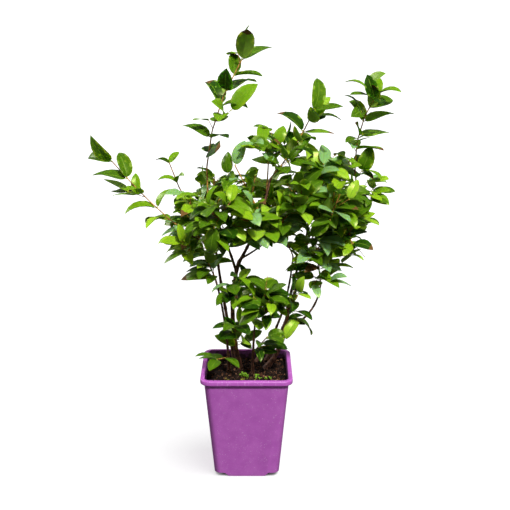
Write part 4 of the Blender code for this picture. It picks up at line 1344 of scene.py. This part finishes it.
# Finishes of the leaves, and how the tones are dealt out
TONES = ("deep", "forest", "grass", "fresh", "cool")
LEAF_FINISHES = (*TONES, "young", "back", "rib", "brown")
YOUNG, BACK, RIB, BROWN = range(len(TONES), len(LEAF_FINISHES))
LEAF_ROUGHNESS, LEAF_GLOW = 0.31, 0.35
OTHER_ROUGHNESS = {"back": 0.62, "rib": 0.5, "brown": 0.8}
OTHER_GLOW = {"back": 0.2, "brown": 0.0}
TONE_SEED = 201
SPRAY = 3  # leaves that share a tone
SHADED_SHOOT_TONES = (16, 42, 32, 6, 4)  # shares of the tones on the bare long shoots, weighted dark as painted shade
SUNLIT_UPPER_TONES = (6, 22, 34, 18, 20)  # in the bushy masses that stand in the light, weighted pale as painted light
BUSH_TONES = (16, 26, 26, 16, 16)  # in those below them
SHADED_LOW_TONES = (30, 32, 20, 10, 8)  # and in the lowest, over the pot, weighted dark as painted shade
UPPER_HEIGHT, LOW_HEIGHT = 0.47, 0.33  # of a mass's tip
YOUNG_SHARE = 0.12  # of the small leaves
DEAD_LEAVES = {"leaves_right_low": 8, "leaves_low_centre": 5}  # which of a mass's small leaves


def tone_shares(mass):
    """How common each tone is among a mass's sprays: paler tones high up as painted light, darker ones on
    the shoots and low down as painted shade.
    """
    if not mass.twig:
        return SHADED_SHOOT_TONES
    if mass.tip[2] > UPPER_HEIGHT:
        return SUNLIT_UPPER_TONES
    return SHADED_LOW_TONES if mass.tip[2] < LOW_HEIGHT else BUSH_TONES


def leaf_finishes(leaf):
    """The finishes of all leaves, in the order of LEAF_FINISHES."""
    finishes = []
    for name in LEAF_FINISHES:
        roughness = OTHER_ROUGHNESS.get(name, LEAF_ROUGHNESS)
        glow = OTHER_GLOW.get(name, LEAF_GLOW)
        finishes.append(leaf_finish("leaf_" + name, getattr(leaf, name), roughness, glow))
    return finishes


def add_leaf(heap, leaf, tone, rng, shape, brown_tip=False):
    """Adds a leaf: its top in its tone, and its rib, underside and perhaps a brown tip."""
    faces, parts = shape
    looks = {TOP: tone, RIB_TOP: RIB, UNDER: BACK, TIP_TOP: tone, TIP_UNDER: BACK}
    if brown_tip:
        looks[TIP_TOP] = looks[TIP_UNDER] = BROWN
    if tone == BROWN:
        looks = dict.fromkeys(looks, BROWN)
    heap.add(blade_points(leaf, rng), faces, [looks[part] for part in parts])


Growth = namedtuple("Growth", "mass stem twigs shoots leaves small")


def grow_crown():
    """What grows in each mass: its stem, twigs, shoots, leaves and small leaves."""
    garden = Garden()
    crown = []
    for index, mass in enumerate(MASSES):
        twigs, leaves = grow_mass(garden, index)
        large = len(leaves)
        shoots = grow_shoots(garden, index, twigs, leaves)
        stem = garden.stems[mass.name]
        crown.append(Growth(mass, stem, twigs, shoots, leaves[:large], leaves[large:]))
    return crown


def make_leaves(settings):
    """All the leaves of the crown, in sprays of one green each."""
    shape = blade_faces()
    heap, small_heap = Heap(), Heap()
    for index, growth in enumerate(grow_crown()):
        mass, large = growth.mass, len(growth.leaves)
        rng, tones = random.Random(mass.seed + 2 * FINER_SEED), random.Random(TONE_SEED + index)
        brown_share = settings.brown_share if mass.twig else settings.shoot_brown_share
        tone = 0
        for number, leaf in enumerate(growth.leaves + growth.small):
            if number % SPRAY == 0:
                tone = tones.choices(range(len(TONES)), tone_shares(mass))[0]
            if number < large:
                add_leaf(heap, leaf, tone, rng, shape, rng.random() < brown_share)
                continue
            shade = YOUNG if rng.random() < YOUNG_SHARE else tone
            if number - large == DEAD_LEAVES.get(mass.name):
                shade = BROWN
            add_leaf(small_heap, leaf, shade, rng, shape)
    finishes = leaf_finishes(settings)
    dress(heap.piece("leaves"), finishes, "foliage", *MASS_NAMES)
    dress(small_heap.piece("small_leaves"), finishes, "foliage", *MASS_NAMES)


# Twigs, stalks and buds
STEM_STEP, STEM_RINGS = 0.006, 8  # between a stem's rings, and how many it has at least
SLIMMER = 0.8  # the radius of a stem's or twig's tip, beside that in the solids
SHOOT_TIP = 0.7  # the radius of a shoot's tip, beside that of its foot
STEM_SIDES, TWIG_SIDES, SHOOT_SIDES, STALK_SIDES = 8, 6, 5, 5
STALK_PAST = 0.01  # how far a stalk runs into its blade, of its leaf's length
STALK_RADIUS, STALK_FLARE = 0.012, 0.0002  # of its leaf's length, and in metres at its root
BUD_RISE = 0.8  # how far a bud turns up from the way its leaf runs
BUD_SIZES = (0.05, 0.085)  # of its leaf's length
BUD_SHAPE = np.array((0.42, 0.42, 1.0))
BUD_SHIFT = 0.3  # of its length, up from its root


def add_bud(heap, shape, place, heading, length):
    """Adds a pointed bud that stands on a place."""
    points, faces = shape
    turn = np.array(heading.to_track_quat("Z", "Y").to_matrix())
    bud = points * BUD_SHAPE * length / 2
    moved = (bud + np.array((0, 0, length * BUD_SHIFT))) @ turn.T + np.array(place)
    heap.add(moved, faces, [0] * len(faces))


def add_stem(heap, growth):
    """Adds a mass's stem, with more rings the longer it is."""
    limb = next(limb for limb in LIMBS if limb.name == growth.mass.limb)
    thick = min(STEM_RADIUS, STEM_SHARE * limb.thin)
    count = max(STEM_RINGS, round(line_length(growth.stem) / STEM_STEP))
    line = [along(growth.stem, step / (count - 1))[0] for step in range(count)]
    add_rod(heap, line, taper(thick, STEM_TIP_RADIUS * SLIMMER, count), STEM_SIDES)


def add_stalk(heap, bud_shape, leaf, rng):
    """Adds a leaf's stalk, and the bud at its root."""
    end = leaf.root + blade_heading(leaf) * leaf.length * (PETIOLE + STALK_PAST)
    radius = STALK_RADIUS * leaf.length
    add_rod(heap, [leaf.root, end], [radius + STALK_FLARE, radius], STALK_SIDES)
    heading = (leaf.along + UP * BUD_RISE).normalized()
    add_bud(heap, bud_shape, leaf.root, heading, rng.uniform(*BUD_SIZES) * leaf.length)


def make_twigs(bark):
    """Young stems, twigs and shoots, with leaf stalks and buds at their nodes."""
    heap, stalks = Heap(), Heap()
    bud_shape = lump_shape()
    twig_radii = [TWIG_RADIUS, TWIG_TIP_RADIUS * SLIMMER]
    shoot_radii = [SHOOT_RADIUS, SHOOT_RADIUS * SHOOT_TIP]
    for growth in grow_crown():
        rng = random.Random(growth.mass.seed + 3 * FINER_SEED)
        add_stem(heap, growth)
        for twig in growth.twigs:
            add_rod(heap, [twig.root, twig.tip], twig_radii, TWIG_SIDES)
        for shoot in growth.shoots:
            add_rod(heap, [shoot.root, shoot.tip], shoot_radii, SHOOT_SIDES)
        for leaf in growth.leaves + growth.small:
            add_stalk(stalks, bud_shape, leaf, rng)
    twig_bark = twig_finish("young_bark", bark.twig_colour, bark.twig_old_colour)
    bud_finish = leaf_finish("buds", bark.bud_colour, roughness=0.5, glow=0.2)
    dress(heap.piece("twigs", angle=60), [twig_bark], "foliage", *MASS_NAMES)
    dress(stalks.piece("leaf_stalks", angle=60), [bud_finish], "foliage", *MASS_NAMES)


# Stems and boughs
BARK_STEP = 0.0022  # between a limb's rings
BARK_RESOLUTION = 4  # of the curve's bevel, which gives twelve sides
BARK_FOOT = 0.004  # how far a stem's bark runs down into the compost
BARK_WELD = 0.00002  # how near each other points are merged
KNOT_STEP, KNOT_LOOSE = 0.034, (0.8, 1.2)
KNOT_RISE, KNOT_LENGTH = 0.22, 0.0022  # the rise is a share of the radius, as is the collar's
COLLAR_RISE, COLLAR_LENGTH = 0.35, 0.006
RIDGES, FLAKES = (900, 900, 120), (350, 350, 90)  # how many to the metre along each axis
RIDGE_DETAIL = (0.8, 2.0, 3)  # roughness, step between sizes, and count of sizes
RIDGE_SHARE, FLAKE_SHARE = 0.7, 0.5  # of the relief's depth


def knot_places(limb, length):
    """How far along a limb its knots lie."""
    rng = random.Random(limb.name)
    numbers = range(1, round(length / KNOT_STEP) + 1)
    return [rng.uniform(*KNOT_LOOSE) * KNOT_STEP * number for number in numbers]


def bark_radii(limb, count, length):
    """A limb's radii with low knots where old leaves stood, and a collar where it forks."""
    coarse = limb_radii(limb)
    knots = knot_places(limb, length)
    radii = []
    for step in range(count):
        share = step / (count - 1)
        spot = share * (len(coarse) - 1)
        first = min(int(spot), len(coarse) - 2)
        radius = coarse[first] + (coarse[first + 1] - coarse[first]) * (spot - first)
        for knot in knots:
            radius *= 1 + KNOT_RISE * math.exp(-(((share * length - knot) / KNOT_LENGTH) ** 2))
        if limb.parent:
            radius *= 1 + COLLAR_RISE * math.exp(-share * length / COLLAR_LENGTH)
        radii.append(radius)
    return radii


def noise_place(place, counts):
    """A place in the noise's cells, of which so many go to the metre along each axis."""
    return Vector([part * count for part, count in zip(place, counts)])


def bark_depth(place, relief):
    """How far bark stands out at a place: long ridges, cracks and loose flakes."""
    ridges = noise.fractal(noise_place(place, RIDGES), *RIDGE_DETAIL)
    flakes = noise.noise(noise_place(place, FLAKES))
    return relief * (RIDGE_SHARE * ridges + FLAKE_SHARE * flakes)


def round_rod(name, line, radii):
    """A closed round rod along a line, made as a curve and turned into a mesh."""
    deselect()
    bpy.ops.curve.primitive_nurbs_path_add(location=(0, 0, 0))
    item = bpy.context.object
    item.name = name
    curve = item.data
    curve.splines.clear()
    spline = curve.splines.new("POLY")
    spline.points.add(len(line) - 1)
    for spot, place, radius in zip(spline.points, line, radii):
        spot.co = (*place, 1)
        spot.radius = radius
    curve.bevel_depth = 1.0
    curve.bevel_resolution = BARK_RESOLUTION
    curve.use_fill_caps = True
    bpy.ops.object.convert(target="MESH")
    bpy.ops.object.mode_set(mode="EDIT")
    bpy.ops.mesh.select_all(action="SELECT")
    bpy.ops.mesh.remove_doubles(threshold=BARK_WELD)
    bpy.ops.mesh.normals_make_consistent(inside=False)
    bpy.ops.object.mode_set(mode="OBJECT")
    return item


def roughen(item, relief):
    """Moves a limb's points out and in, as its bark's ridges and flakes stand."""
    normals = [point.normal.copy() for point in item.data.vertices]
    for point, normal in zip(item.data.vertices, normals):
        point.co += normal * bark_depth(point.co, relief)


def make_bark(bark):
    """Each stem and bough as a mesh with knots and relief."""
    lines = limb_lines()
    finish = bark_finish(bark)
    for limb in LIMBS:
        coarse = lines[limb.name]
        length = line_length(coarse)
        count = round(length / BARK_STEP)
        line = bent(coarse[0], coarse[-1], Vector(limb.bow), count)
        radii = bark_radii(limb, count, length)
        if limb.parent is None:
            line.insert(0, line[0] - UP * BARK_FOOT)
            radii.insert(0, radii[0])
        item = round_rod("bark_" + limb.name, line, radii)
        roughen(item, bark.relief)
        dress(settle(item, angle=60), [finish], "bark", limb.name)


# Seedlings and moss: where each tuft stands and how many sprouts it has
SPROUT_SEED = 11
SEEDLINGS = ((-0.004, -0.023, 4), (0.002, -0.027, 3), (0.016, -0.035, 3), (0.032, -0.034, 2))
MOSS = ((-0.006, -0.036, 8), (-0.034, -0.037, 5), (0.010, -0.037, 5), (0.052, -0.038, 3))
Sprout = namedtuple("Sprout", "spread size lift pairs")
SEEDLING = Sprout(spread=0.0030, size=0.0042, lift=0.0065, pairs=2)
TUFT = Sprout(spread=0.0035, size=0.0020, lift=0.0012, pairs=1)
SPROUT_DEPTH = 0.7  # how deep a group is, beside its width
SPROUT_LIFTS = (0.4, 1.2)
SPROUT_SIZES = (0.7, 1.2)
SPROUT_RISES = (0.2, 0.9)  # how far the little leaves point up
SPROUT_STEP = 0.4  # between its pairs, of its height
SPROUT_RADII = [0.00024, 0.00018]
SPROUT_FOOT = 0.001  # how far its stalk runs down into the compost


def add_sprout(heap, shape, place, kind, rng):
    """Adds a tiny stalk with pairs of little leaves up it."""
    lift = kind.lift * rng.uniform(*SPROUT_LIFTS)
    top = place + UP * lift
    add_rod(heap, [place - UP * SPROUT_FOOT, top], SPROUT_RADII, sides=4)
    for pair in range(kind.pairs):
        root = top - UP * lift * SPROUT_STEP * pair
        turn = rng.uniform(0, math.pi)
        for way in (0, math.pi):
            out = Matrix.Rotation(turn + way, 3, UP) @ Vector((1, 0, rng.uniform(*SPROUT_RISES)))
            out.normalize()
            face = (UP - out * out.z).normalized()
            leaf = Leaf(root, out, face, kind.size * rng.uniform(*SPROUT_SIZES))
            heap.add(blade_points(leaf, rng), shape[0], [0] * len(shape[0]))


def sprout_heap(groups, kind, rng):
    """Groups of sprouts of one kind, on the compost."""
    shape = blade_faces()
    heap = Heap()
    for x, y, count in groups:
        for _ in range(count):
            aside = x + rng.gauss(0, kind.spread)
            back = y + rng.gauss(0, kind.spread * SPROUT_DEPTH)
            place = Vector((aside, back, 0))
            place.z = SOIL_LEVEL + soil_height(place.x, place.y)
            add_sprout(heap, shape, place, kind, rng)
    return heap


def make_seedlings(compost):
    """Tiny seedlings and tufts of moss on the compost."""
    rng = random.Random(SPROUT_SEED)
    seedlings = sprout_heap(SEEDLINGS, SEEDLING, rng)
    moss = sprout_heap(MOSS, TUFT, rng)
    green = leaf_finish("seedling", compost.seedling_colour, roughness=0.5, glow=0.3)
    dress(seedlings.piece("seedlings"), [green], "foliage")
    pale = leaf_finish("moss", compost.moss_colour, roughness=0.7, glow=0.2)
    dress(moss.piece("moss"), [pale], "foliage")


# Floor
FLOOR_SIDES = 96
FLOOR_STEPS, FLOOR_BEND = 8, 0.5  # of the curve at its rim, and its radius beside the floor's
FLOOR_GREY = (0.45,) * 3
# The floor's glow is painted light: dimmer round the pot, so that the shadow there reads darker, and full
# far off, so that the rising rim stays white.
NEAR_GLOW, FAR_GLOW, NOOK_SHADOW_GLOW = (0.72,) * 3, (0.93,) * 3, (0.02,) * 3
NEAR, FAR = 0.6, 1.8  # metres from the middle
NOOK = 0.014  # how close something stands over the floor in a nook
NOOK_LIGHT = (0.1, 0.6)  # how open a place is that counts as all nook, and as none


def floor_finish():
    """Grey that glows nearly white as painted light, a little less round the pot, and hardly at all in the
    nooks under it, as painted shadow.
    """
    finish = Finish("pale_floor", FLOOR_GREY, roughness=0.9, Emission_Strength=1.0)
    distance = finish.node("VectorMath", {"operation": "LENGTH"}, {0: finish.place()}, 1)
    nook = finish.node("AmbientOcclusion", None, {"Distance": NOOK}, 1)
    glow = finish.mixed(distance.over(NEAR, FAR), NEAR_GLOW, FAR_GLOW)
    # Painted shadow: the glow dies away in the nooks under the pot.
    glow = finish.mixed(nook.over(*NOOK_LIGHT), NOOK_SHADOW_GLOW, glow)
    finish.feed(finish.shader.inputs["Emission Color"], glow)
    return finish.material


def make_floor(radius):
    """A pale round floor that turns up at its rim, which no light bounces off."""
    deselect()
    bpy.ops.mesh.primitive_circle_add(
        vertices=FLOOR_SIDES, radius=radius, fill_type="NGON", location=(0, 0, 0)
    )
    floor = bpy.context.object
    floor.name = "floor"
    bpy.ops.object.mode_set(mode="EDIT")
    bpy.ops.mesh.select_mode(type="EDGE")
    bpy.ops.mesh.region_to_loop()
    bend = FLOOR_BEND * radius
    for step in range(1, FLOOR_STEPS + 1):
        before, after = (math.pi / 2 * number / FLOOR_STEPS for number in (step - 1, step))
        rise = bend * (math.cos(before) - math.cos(after))
        wide = (radius + bend * math.sin(after)) / (radius + bend * math.sin(before))
        bpy.ops.mesh.extrude_edges_move(TRANSFORM_OT_translate={"value": (0, 0, rise)})
        bpy.ops.transform.resize(value=(wide, wide, 1), center_override=(0, 0, 0))
    bpy.ops.object.mode_set(mode="OBJECT")
    bpy.ops.object.shade_smooth_by_angle(angle=math.radians(35))
    floor.data.materials.append(floor_finish())
    floor.visible_diffuse = False
    floor.visible_glossy = False
    floor.visible_shadow = False
    return floor


def add_sun(name, strength, size, turn):
    """A light from far away, tilted from straight above by a turn about each axis."""
    deselect()
    bpy.ops.object.light_add(type="SUN", rotation=turn)
    light = bpy.context.object
    light.name = name
    light.data.energy = strength
    light.data.angle = size
    return light


def linked(light, item, state):
    """A collection that says how a light treats a piece."""
    group = bpy.data.collections.new(f"{light.name}_{item.name}")
    group.objects.link(item)
    group.collection_objects[0].light_linking.link_state = state
    return group


def pass_over(light, item):
    """Keeps a light off a piece."""
    light.light_linking.receiver_collection = linked(light, item, "EXCLUDE")


def keep_to(light, item, blocker):
    """Makes a light fall on one piece only, with the shadow of one other."""
    light.light_linking.receiver_collection = linked(light, item, "INCLUDE")
    light.light_linking.blocker_collection = linked(light, blocker, "INCLUDE")


# Where the lights come from
SUN_TURN = (math.radians(40), math.radians(18), 0)  # the upper right in front
FILL_TURN = (math.radians(-25), math.radians(-55), 0)  # the left, a little behind
BACK_TURN = (math.radians(-41), math.radians(62), 0)  # low behind on the right
FLOOR_TURN = (math.radians(13), math.radians(22), 0)  # the right and a little in front
SENSOR_WIDTH = 36  # millimetres


def add_lights(stage, floor):
    """Four lights on the plant and its pot, and one on the floor, which only the pot shades."""
    pass_over(add_sun("key_light", stage.key, stage.key_size, SUN_TURN), floor)
    pass_over(add_sun("soft_light", stage.soft, stage.soft_size, SUN_TURN), floor)
    pass_over(add_sun("fill_light", stage.fill, stage.soft_size, FILL_TURN), floor)
    back = add_sun("back_light", stage.back, stage.soft_size, BACK_TURN)
    back.visible_glossy = False
    pass_over(back, floor)
    ground = add_sun("floor_light", stage.ground, stage.ground_size, FLOOR_TURN)
    keep_to(ground, floor, bpy.data.objects["pot_shell"])


def light_room(strength):
    """Plain white light from all round."""
    world = bpy.data.worlds.new("room_light")
    world.use_nodes = True
    background = world.node_tree.nodes["Background"]
    background.inputs["Color"].default_value = (1, 1, 1, 1)
    background.inputs["Strength"].default_value = strength
    bpy.context.scene.world = world


def add_camera(stage):
    """The camera, in front of the pot and above it."""
    bpy.ops.object.camera_add(
        location=(stage.aside, -stage.distance, stage.height), rotation=(math.pi / 2 - stage.tilt, 0, 0)
    )
    camera = bpy.context.object
    camera.name = "camera"
    camera.data.lens = stage.lens
    camera.data.sensor_width = SENSOR_WIDTH
    bpy.context.scene.camera = camera


def make_stage(stage):
    """The floor, the lights and the camera."""
    add_lights(stage, make_floor(stage.floor))
    light_room(stage.sky)
    bpy.context.scene.view_settings.view_transform = "Standard"
    add_camera(stage)


class MakePot(bpy.types.Operator):
    """Models the square pot"""

    bl_idname = "haskap.pot"
    bl_label = "Pot"

    def execute(self, context):
        make_pot(context.scene.haskap_pot)
        return {"FINISHED"}


class MakeCompost(bpy.types.Operator):
    """Models the compost, its crumbs and fibres"""

    bl_idname = "haskap.compost"
    bl_label = "Compost"

    def execute(self, context):
        make_compost(context.scene.haskap_pot, context.scene.haskap_compost)
        make_litter(context.scene.haskap_pot, context.scene.haskap_compost)
        return {"FINISHED"}


class MakeSeedlings(bpy.types.Operator):
    """Models the seedlings and the moss on the compost"""

    bl_idname = "haskap.seedlings"
    bl_label = "Seedlings"

    def execute(self, context):
        make_seedlings(context.scene.haskap_compost)
        return {"FINISHED"}


class MakeBark(bpy.types.Operator):
    """Models the stems and boughs with their bark"""

    bl_idname = "haskap.bark"
    bl_label = "Stems and boughs"

    def execute(self, context):
        make_bark(context.scene.haskap_bark)
        return {"FINISHED"}


class MakeTwigs(bpy.types.Operator):
    """Grows the twigs with their buds and leaf stalks"""

    bl_idname = "haskap.twigs"
    bl_label = "Twigs"

    def execute(self, context):
        make_twigs(context.scene.haskap_bark)
        return {"FINISHED"}


class MakeLeaves(bpy.types.Operator):
    """Grows the leaves"""

    bl_idname = "haskap.leaves"
    bl_label = "Leaves"

    def execute(self, context):
        make_leaves(context.scene.haskap_leaf)
        return {"FINISHED"}


class MakeStage(bpy.types.Operator):
    """Sets the floor, the light and the camera"""

    bl_idname = "haskap.stage"
    bl_label = "Stage"

    def execute(self, context):
        make_stage(context.scene.haskap_stage)
        return {"FINISHED"}


SETTINGS = {
    "haskap_pot": PotSettings,
    "haskap_compost": CompostSettings,
    "haskap_bark": BarkSettings,
    "haskap_leaf": LeafSettings,
    "haskap_stage": StageSettings,
}
OPERATORS = (MakePot, MakeCompost, MakeSeedlings, MakeBark, MakeTwigs, MakeLeaves, MakeStage)


class HaskapPanel(bpy.types.Panel):
    """Lists the pieces of the shrub and their settings"""

    bl_idname = "VIEW3D_PT_haskap"
    bl_label = "Potted haskap"
    bl_space_type = "VIEW_3D"
    bl_region_type = "UI"
    bl_category = "Haskap"

    def draw(self, context):
        for operator in OPERATORS:
            self.layout.operator(operator.bl_idname)
        for name, group in SETTINGS.items():
            box = self.layout.box()
            for setting in group.__annotations__:
                box.prop(getattr(context.scene, name), setting)


def register():
    for group in SETTINGS.values():
        bpy.utils.register_class(group)
    for name, group in SETTINGS.items():
        setattr(bpy.types.Scene, name, PointerProperty(type=group))
    for kind in (*OPERATORS, HaskapPanel):
        bpy.utils.register_class(kind)


def unregister():
    for kind in (HaskapPanel, *reversed(OPERATORS)):
        bpy.utils.unregister_class(kind)
    for name, group in SETTINGS.items():
        delattr(bpy.types.Scene, name)
        bpy.utils.unregister_class(group)


def main():
    register()
    bpy.ops.haskap.pot()
    bpy.ops.haskap.compost()
    bpy.ops.haskap.seedlings()
    bpy.ops.haskap.bark()
    bpy.ops.haskap.twigs()
    bpy.ops.haskap.leaves()
    bpy.ops.haskap.stage()


if __name__ == "__main__":
    main()
